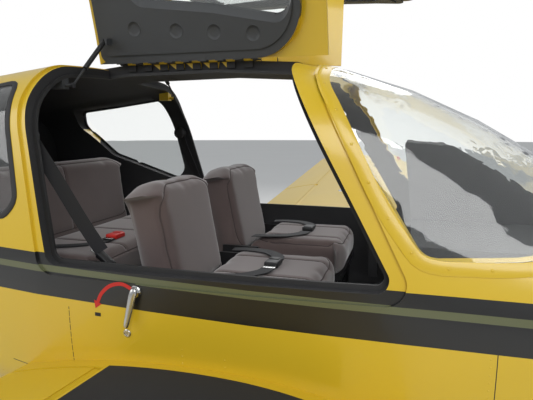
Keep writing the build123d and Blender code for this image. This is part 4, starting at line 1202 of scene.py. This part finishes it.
class AERO_OT_instruments(bpy.types.Operator):
    """Dials, radios, knobs and switches on the panel's aft face"""

    bl_idname = "aero.instruments"
    bl_label = "Instruments"

    def execute(self, context):
        done = finishes(context.scene)
        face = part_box("instrument_panel")[0][0]
        out = Vector((-1, 0, 0))
        places = [standing((face, y, z), out, radius)
                  for radius, across, heights in DIAL_BLOCKS for y in across for z in heights]
        ring = lathe("bezels", BEZEL, steps=40)
        finish(copies("bezels", ring, places, 35), "root", done["black_plastic"], "black_metal")
        disc = lathe("dial_faces", DIAL_FACE, steps=32)
        finish(copies("dial_faces", disc, places, 35), "root", done["seal"], "black_rubber")
        self.marks(places, done)
        self.needles(places, done)
        self.radios(face, out, done)
        self.knobs(face, out, done)
        return {"FINISHED"}

    def marks(self, places, done):
        """Thirty strokes round each dial, every fifth one longer; sizes are shares of its radius."""
        marks, long_marks = [], []
        for place in places:
            for k in range(30):
                turn = place @ Matrix.Rotation(math.radians(12 * k), 4, "Z")
                (marks if k % 5 else long_marks).append(turn @ Matrix.Translation((0, 0.68, 0.035)))
        tick = box("dial_marks", (-0.012, -0.06, 0), (0.012, 0.06, 0.006))
        finish(copies("dial_marks", tick, marks), "root", done["white"], "dark_trim")
        tick = box("dial_main_marks", (-0.02, -0.14, 0), (0.02, 0.06, 0.006))
        finish(copies("dial_main_marks", tick, long_marks), "root", done["white"], "dark_trim")

    def needles(self, places, done):
        """A tapered needle on each dial."""
        needle = box("needles", (-0.028, -0.16, 0.045), (0.028, 0.60, 0.060))
        for vertex in needle.data.vertices:
            if vertex.co.y > 0.5:
                vertex.co.x *= 0.2
        turned = [place @ Matrix.Rotation(angle, 4, "Z") for place, angle in zip(places, NEEDLE_TURNS)]
        finish(copies("needles", needle, turned), "root", done["white"], "dark_trim")

    def radios(self, face, out, done):
        """A stack of black faces with dark displays and two knobs each."""
        case = box("radio_faces", (-0.079, -0.0225, 0), (0.079, 0.0225, RADIO_DEEP), 0.002)
        places = [standing((face, RADIO_Y, z), out) for z in RADIO_HEIGHTS]
        finish(copies("radio_faces", case, places, 35), "root", done["black_plastic"], "black_metal")
        pane = box("radio_displays", (-0.045, -0.012, 0.0115), (0.045, 0.012, 0.0128), 0.0006)
        finish(copies("radio_displays", pane, places, 35), "root", done["display"], "clear_glazing")
        knob = lathe("radio_knobs", RADIO_KNOB, steps=24)
        spots = [standing((face - RADIO_DEEP, RADIO_Y + aside, z), out)
                 for z in RADIO_HEIGHTS for aside in (-0.062, 0.062)]
        finish(copies("radio_knobs", knob, spots, 35), "root", done["black_plastic"], "black_metal")

    def knobs(self, face, out, done):
        """Rocker switches, breakers and the push-pull engine controls."""
        rocker = box("rockers", (-0.007, -0.012, 0), (0.007, 0.012, 0.007), 0.002)
        spots = [standing((face, ROCKER_Y + ROCKER_STEP * k, ROCKER_Z), out) for k in range(ROCKER_COUNT)]
        finish(copies("rockers", rocker, spots, 35), "root", done["seal"], "black_rubber")
        breaker = lathe("breakers", BREAKER, steps=16)
        spots = [standing((face, BREAKER_Y + BREAKER_STEP * k, z), out)
                 for k in range(BREAKER_COUNT) for z in BREAKER_HEIGHTS]
        finish(copies("breakers", breaker, spots, 35), "root", done["seal"], "black_rubber")
        pull = lathe("engine_controls", PULL_KNOB, steps=28)
        spots = [standing((face, y, PULL_Z), out) for y in PULL_PLACES]
        finish(copies("engine_controls", pull, spots, 35), "root", done["black_plastic"], "black_metal")


class AERO_OT_power(bpy.types.Operator):
    """Engine, exhaust, propeller and spinner"""

    bl_idname = "aero.power"
    bl_label = "Power plant"

    def execute(self, context):
        done = finishes(context.scene)
        coat("engine", done["engine"])
        coat("exhaust", done["exhaust"])
        dressed("propeller", "propeller", [done["prop"]])
        dressed("spinner", "propeller", [done["plain"]])
        return {"FINISHED"}


# Radii at which the tyres meet their rims
MAIN_BEAD, NOSE_BEAD = 0.082, 0.068
# A tyre's wall, from its bead to its tread, as shares of its half width and of its depth
TYRE_WALL = ((0.56, 0.0), (0.80, 0.06), (0.97, 0.34), (1.0, 0.50), (0.95, 0.74), (0.84, 0.89), (0.70, 0.96))
# Grooves of the tread: their places and the halves of their foot and mouth, as shares of the half width
GROOVES, GROOVE_FOOT, GROOVE_MOUTH, GROOVE_DEPTH = (-0.48, -0.24, 0.0, 0.24, 0.48), 0.02, 0.035, 0.006
# How far the tread has fallen at its outer grooves, as a share of the tyre's depth
TREAD_FALL = 0.025


class AERO_OT_gear(bpy.types.Operator):
    """Legs, rims and tyres"""

    bl_idname = "aero.gear"
    bl_label = "Landing gear"

    def execute(self, context):
        done = finishes(context.scene)
        for side, _ in SIDES:
            self.tyre("tyre_main_" + side, "main_wheel_" + side, MAIN_BEAD, done)
            coat("rim_main_" + side, done["alloy"])
        self.tyre("tyre_nose", "nose_wheel", NOSE_BEAD, done)
        coat("rim_nose", done["alloy"])
        for name in ("main_legs", "nose_leg", "nose_fork"):
            coat(name, done["white"])
        return {"FINISHED"}

    def tyre(self, name, body, bead, done):
        """A tyre with a bead, bulged walls and five grooves round its tread."""
        low, high = (Vector(corner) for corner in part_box(name))
        centre, size = (low + high) / 2, (high - low) / 2
        wide, tall = size.y, size.z
        deep = tall - bead
        wall = [(share * wide, bead + height * deep) for share, height in TYRE_WALL]
        profile = [(-aside, out) for aside, out in wall]
        for groove in GROOVES:
            crown = tall - TREAD_FALL * deep * (groove / GROOVES[-1]) ** 2
            profile += [((groove + half) * wide, crown - depth)
                        for half, depth in ((-GROOVE_MOUTH, 0), (-GROOVE_FOOT, GROOVE_DEPTH),
                                            (GROOVE_FOOT, GROOVE_DEPTH), (GROOVE_MOUTH, 0))]
        profile += reversed(wall)
        piece = lathe(name + "_treaded", profile, centre, (0, 1, 0), 72)
        finish(piece, body, done["tyre"], "tyre_rubber")
        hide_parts(name)


# Rivet rows and seams on the cabin side: station, out, height
RIVET_ROWS = (
    ((1.250, 0.66, 0.955), (1.250, 0.66, 0.850)), ((1.380, 0.66, 0.940), (1.380, 0.66, 0.850)),
    ((0.870, 0.66, 1.030), (0.870, 0.64, 0.830)), ((0.480, 0.66, 1.040), (0.480, 0.62, 0.720)),
    ((2.060, 0.64, 1.020), (2.060, 0.62, 0.700)), ((2.460, 0.60, 1.200), (2.460, 0.60, 0.700)),
    ((0.480, 0.62, 0.760), (0.860, 0.62, 0.760)),
)
SEAMS = (
    ((0.870, 0.66, 1.040), (0.870, 0.64, 0.825)), ((0.613, 0.62, 0.827), (0.879, 0.63, 0.804)),
    ((2.075, 0.64, 1.035), (2.075, 0.60, 0.690)),
)
# The latch's upper and lower ends, its lock, the arrow's path and the small plate, in the same terms
LATCH_TOP, LATCH_FOOT, LOCK_PLACE = (1.108, 0.68, 1.112), (1.086, 0.68, 1.006), (1.074, 0.68, 0.978)
ARROW_PATH = ((1.096, 0.68, 1.116), (1.062, 0.68, 1.129), (1.022, 0.68, 1.120), (0.991, 0.68, 1.093),
              (0.977, 0.68, 1.065))
PLATE_PLACE = (0.975, 0.68, 1.025)
# The lever's sections: share of its length, half width, lift off the skin, half thickness
LEVER = ((-0.12, 0.003, 0.012, 0.002), (-0.10, 0.009, 0.013, 0.005), (0.00, 0.0125, 0.015, 0.006),
         (0.15, 0.0125, 0.017, 0.006), (0.60, 0.0105, 0.020, 0.0045), (0.92, 0.0095, 0.023, 0.004),
         (1.00, 0.007, 0.024, 0.003), (1.02, 0.002, 0.024, 0.001))
# Sections of the lever's boss and of the lock's barrel: height above the skin, out from the axis
LATCH_BOSS = ((-0.004, 0.0001), (-0.004, 0.017), (0.003, 0.017), (0.005, 0.014), (0.012, 0.011),
              (0.012, 0.0001))
LOCK_BARREL = ((-0.003, 0.0001), (-0.003, 0.0125), (0.002, 0.0125), (0.0035, 0.0105), (0.0035, 0.0075),
               (0.0015, 0.007), (0.0015, 0.0001))
# The arrow's half width, its lift off the skin, and its heads' half width, half tip and length
ARROW_HALF, ARROW_LIFT, HEAD_HALF, HEAD_TIP, HEAD_LONG = 0.0055, 0.0006, 0.014, 0.0004, 0.022
# Spacing of the rivets, radius and height of a head, and width and height of a seam's line
RIVET_SPACING, RIVET_RADIUS, RIVET_HEIGHT = 0.022, 0.0026, 0.0009
SEAM_WIDE, SEAM_HIGH = 0.0022, 0.0003


class AERO_OT_side_details(bpy.types.Operator):
    """Latch lever and key lock, red arrow with the plate below it, rivets and seams"""

    bl_idname = "aero.side_details"
    bl_label = "Side details"

    def execute(self, context):
        done = finishes(context.scene)
        for side, sign in SIDES:
            self.latch(done, side, sign)
            self.arrow(done, side, sign)
            places = []
            for start, end in RIVET_ROWS:
                places += [on_skin(place, sign) for place in run_through((start, end), RIVET_SPACING)]
            rivets = scattered("rivets_" + side, dome(RIVET_RADIUS, RIVET_HEIGHT, 8), places)
            finish(rivets, "root", done["plain"], "yellow_paint")
            lines = [skin_strip(f"seam_{side}_{i}", line, sign, SEAM_WIDE, SEAM_HIGH, 0.03)
                     for i, line in enumerate(SEAMS)]
            finish(join("seams_" + side, lines), "root", done["seal"], "black_rubber")
        return {"FINISHED"}

    def latch(self, done, side, sign):
        """A tapered chrome lever on a round boss, with a lock barrel below it."""
        top, normal = on_skin(LATCH_TOP, sign)
        foot, _ = on_skin(LATCH_FOOT, sign)
        across = normal.cross((foot - top).normalized()).normalized()
        rows = []
        for share, half, lift, thick in LEVER:
            middle = top.lerp(foot, share) + normal * lift
            rows.append([middle + across * (half * math.cos(t)) + normal * (thick * math.sin(t))
                         for t in ring_angles(16)])
        lever = close_up(grid_sheet("lever_" + side, rows))
        apply(smooth(lever, 60), "SUBSURF", levels=1)
        boss = lathe("boss_" + side, LATCH_BOSS, top, normal, 32)
        lock_at, lock_out = on_skin(LOCK_PLACE, sign)
        lock = lathe("lock_" + side, LOCK_BARREL, lock_at, lock_out, 32)
        key_way = box("key_way_" + side, (-0.0008, -0.004, 0.0014), (0.0008, 0.004, 0.0017))
        key_way.matrix_world = standing(lock_at, lock_out)
        settle(key_way)
        latch = join("latch_" + side, [lever, boss, lock])
        finish(latch, "root", done["chrome"], "chrome_metal")
        finish(key_way, "root", done["seal"], "black_rubber")
        if side == "left":
            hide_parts("door_handles")

    def arrow(self, done, side, sign):
        """A flat red arc with a head at each end, and the small plate below it."""
        feet = [on_skin(place, sign) for place in run_through(ARROW_PATH, 0.008)]
        points = [point for point, _ in feet]
        rows = []
        for i, (point, normal) in enumerate(feet):
            across = normal.cross(heading(points, i)).normalized()
            rows.append([point + normal * ARROW_LIFT + across * half for half in (-ARROW_HALF, ARROW_HALF)])
        pieces = [grid_sheet("arc_" + side, rows)]
        for end, inner, label in ((0, 2, "a"), (-1, -3, "b")):
            point, normal = feet[end]
            ahead = (point - points[inner]).normalized()
            across = normal.cross(ahead).normalized()
            base = point + normal * ARROW_LIFT
            rows = [[middle - across * half, middle + across * half]
                    for middle, half in ((base, HEAD_HALF), (base + ahead * HEAD_LONG, HEAD_TIP))]
            pieces.append(grid_sheet(f"head_{label}_{side}", rows))
        arrow = join("arrow_" + side, pieces)
        apply(arrow, "SOLIDIFY", thickness=0.0004, offset=0)
        finish(arrow, "root", done["red"])
        place, out = on_skin(PLATE_PLACE, sign)
        plate = box("plate_" + side, (-0.010, -0.0055, 0), (0.010, 0.0055, 0.0012), 0.0004)
        plate.matrix_world = laid(place, (Vector((1, 0, 0)) - out * out.x).normalized(), out)
        settle(plate)
        finish(plate, "root", done["seal"], "black_rubber")


# Where the walkway lies on a wing, from aft forward and from the root out, and its lift off the skin
WALKWAY_X, WALKWAY_Y, WALKWAY_LIFT = (1.03, 1.70), (0.70, 0.98), 0.0007
# Station and distance out of the fuel cap and the tie-down ring, and the pitot tube's foot on the port wing
CAP_PLACE, RING_PLACE, PITOT_PLACE = (1.30, 2.35), (1.25, 2.9), (1.35, 3.3)
# The pitot tube's path from its foot: it goes down, then forward
PITOT_PATH = ((0, 0, 0.01), (0.005, 0, -0.04), (0.02, 0, -0.10), (0.07, 0, -0.125), (0.16, 0, -0.128),
              (0.25, 0, -0.128))
# A wing lamp's distance in from the tip and below the wing's top at the station given, and its lens
LAMP_INSET, LAMP_DROP, LAMP_STATION, LENS_RADIUS, LENS_HEIGHT = 0.16, 0.045, 1.35, 0.022, 0.024
# Heights and stations of the cowl's fasteners, and how far they lie above and below its seam
FASTENER_HEIGHTS = (0.78, 0.87, 0.96, 1.05, 1.14, 1.22)
FASTENER_STATIONS, FASTENER_LIFT = (2.66, 2.82, 2.98, 3.14, 3.30), 0.018
# Sections of the turned fittings: height above the skin, out from the axis
FUEL_CAP = ((-0.002, 0.0002), (-0.002, 0.040), (0.002, 0.040), (0.003, 0.037), (0.003, 0.031),
            (0.0055, 0.029), (0.0055, 0.0002))
FASTENER = ((-0.001, 0.0002), (-0.001, 0.0085), (0.0008, 0.008), (0.0012, 0.006), (0.0012, 0.0002))
WHIP_BASE = ((-0.004, 0.0002), (-0.004, 0.016), (0.004, 0.014), (0.016, 0.006), (0.016, 0.0002))
TAIL_LAMP = ((-0.006, 0.0002), (-0.006, 0.040), (0.006, 0.038), (0.008, 0.033), (0.034, 0.028),
             (0.045, 0.016), (0.048, 0.0002))
# Stations of the whip aerial, the blade aerial and the tail lamp on the tail cone
WHIP_STATION, BLADE_STATION, TAIL_LAMP_STATION = -0.55, -0.9, -1.55
# The whip's tip from its foot and its radius, the pitot tube's radius, and how far the blade leans aft
WHIP_TIP, WHIP_RADIUS, PITOT_RADIUS, BLADE_LEAN = (-0.20, 0, 0.42), 0.0028, 0.006, 0.035
# The tie-down ring's radius, that of its wire, and how far its middle hangs below the wing
RING_RADIUS, RING_WIRE, RING_DROP = 0.018, 0.004, 0.014


class AERO_OT_fittings(bpy.types.Operator):
    """Walkways, fuel caps, lamps, pitot tube, aerials, cowl fasteners and tie-down rings"""

    bl_idname = "aero.fittings"
    bl_label = "Outside fittings"

    def execute(self, context):
        done = finishes(context.scene)
        for side, sign in SIDES:
            wing = "wing_" + side
            self.walkway(wing, side, sign, done)
            point, normal = from_above(wing, CAP_PLACE[0], sign * CAP_PLACE[1])
            cap = lathe("fuel_cap_" + side, FUEL_CAP, point, normal, 40)
            finish(cap, "root", done["chrome"], "chrome_metal")
            self.lamp(wing, side, sign, done)
            self.tie_ring(wing, side, sign, done)
            self.fasteners(side, sign, done)
        foot, _ = from_below("wing_left", *PITOT_PLACE)
        pitot = tube("pitot", [foot + Vector(step) for step in PITOT_PATH], PITOT_RADIUS, 16)
        finish(pitot, "root", done["steel"], "steel")
        self.aerials(done)
        return {"FINISHED"}

    def walkway(self, wing, side, sign, done):
        """A thin rough sheet on the wing's root."""
        rows = []
        for x, _ in evenly([(x, 0) for x in WALKWAY_X], 0.03):
            feet = [from_above(wing, x, sign * y) for y, _ in evenly([(y, 0) for y in WALKWAY_Y], 0.035)]
            rows.append([point + normal * WALKWAY_LIFT for point, normal in feet])
        sheet = smooth(grid_sheet("walkway_" + side, rows, 0.001), 50)
        finish(sheet, "root", done["grip"], "black_rubber")

    def lamp(self, wing, side, sign, done):
        """A round lens on the leading edge beside the tip."""
        lamp_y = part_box(wing)[1 if sign > 0 else 0][1] - sign * LAMP_INSET
        top, _ = from_above(wing, LAMP_STATION, lamp_y)
        point, out = meet((wing,), (3, lamp_y, top.z - LAMP_DROP), (-1, 0, 0))
        lens = dome(LENS_RADIUS, LENS_HEIGHT, 20)
        lens.matrix_world = standing(point - out * 0.003, out)
        finish(smooth(named(settle(lens), "wing_lamp_" + side), 60), "root",
               done["green" if side == "right" else "lens_red"], "clear_glazing")

    def tie_ring(self, wing, side, sign, done):
        """A steel ring below the wing."""
        point, _ = from_below(wing, RING_PLACE[0], sign * RING_PLACE[1])
        deselect()
        bpy.ops.mesh.primitive_torus_add(major_radius=RING_RADIUS, minor_radius=RING_WIRE, major_segments=24,
                                         minor_segments=8, location=point - Vector((0, 0, RING_DROP)),
                                         rotation=(0, math.pi / 2, 0))
        ring = named(settle(bpy.context.active_object), "tie_ring_" + side)
        finish(smooth(ring, 60), "root", done["steel"], "steel")

    def fasteners(self, side, sign, done):
        """Quarter-turn fasteners along the cowl's seams."""
        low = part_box("cowl_upper")[0]
        places = [on_skin((low[0] + 0.022, 0.6, z), sign) for z in FASTENER_HEIGHTS]
        for x in FASTENER_STATIONS:
            for lift in (-FASTENER_LIFT, FASTENER_LIFT):
                places.append(from_side(x, low[2] + lift, sign))
        heads = lathe("fasteners_" + side, FASTENER, steps=16)
        finish(scattered("fasteners_" + side, heads, places), "root", done["steel"], "steel")

    def aerials(self, done):
        """A whip and a blade aerial, and the flashing lamp on the tail."""
        foot, _ = from_above("tail_cone", WHIP_STATION, 0)
        whip = rod("whip_aerial", foot - Vector((0, 0, 0.005)), foot + Vector(WHIP_TIP), WHIP_RADIUS, 12)
        base = lathe("whip_base", WHIP_BASE, foot, (-0.2, 0, 1), 24)
        finish(join("whip_aerial", [whip, base]), "root", done["seal"], "black_rubber")
        foot, _ = from_below("tail_cone", BLADE_STATION, 0)
        blade = box("blade_aerial", (-0.030, -0.006, -0.110), (0.045, 0.006, 0.004), 0.005, 3)
        for vertex in blade.data.vertices:
            if vertex.co.z < -0.05:
                vertex.co.x -= BLADE_LEAN
        blade.matrix_world = Matrix.Translation(foot)
        finish(smooth(settle(blade), 40), "root", done["white"], "dark_trim")
        foot, out = from_above("tail_cone", TAIL_LAMP_STATION, 0)
        lamp = lathe("tail_lamp", TAIL_LAMP, foot, out, 32)
        finish(lamp, "root", done["lens_red"], "clear_glazing")


OPERATORS = (AERO_OT_stage, AERO_OT_shell, AERO_OT_glazing, AERO_OT_frames, AERO_OT_doors, AERO_OT_cabin,
             AERO_OT_belts, AERO_OT_instruments, AERO_OT_power, AERO_OT_gear, AERO_OT_side_details,
             AERO_OT_fittings)


class AERO_PT_sidebar(bpy.types.Panel):
    """Lists the aeroplane's pieces and settings"""

    bl_idname = "AERO_PT_sidebar"
    bl_label = "Aeroplane"
    bl_space_type = "VIEW_3D"
    bl_region_type = "UI"
    bl_category = "Aeroplane"

    def draw(self, context):
        layout = self.layout
        for settings in (context.scene.aero_paint, context.scene.aero_stage):
            for name in settings.__annotations__:
                layout.prop(settings, name)
        for operator in OPERATORS:
            layout.operator(operator.bl_idname)


CLASSES = (PaintSettings, StageSettings, *OPERATORS, AERO_PT_sidebar)


def register():
    for cls in CLASSES:
        bpy.utils.register_class(cls)
    bpy.types.Scene.aero_paint = bpy.props.PointerProperty(type=PaintSettings)
    bpy.types.Scene.aero_stage = bpy.props.PointerProperty(type=StageSettings)


def unregister():
    del bpy.types.Scene.aero_stage
    del bpy.types.Scene.aero_paint
    for cls in reversed(CLASSES):
        bpy.utils.unregister_class(cls)


def main():
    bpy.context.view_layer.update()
    register()
    for operator in OPERATORS:
        group, name = operator.bl_idname.split(".")
        getattr(getattr(bpy.ops, group), name)()


if __name__ == "__main__":
    main()
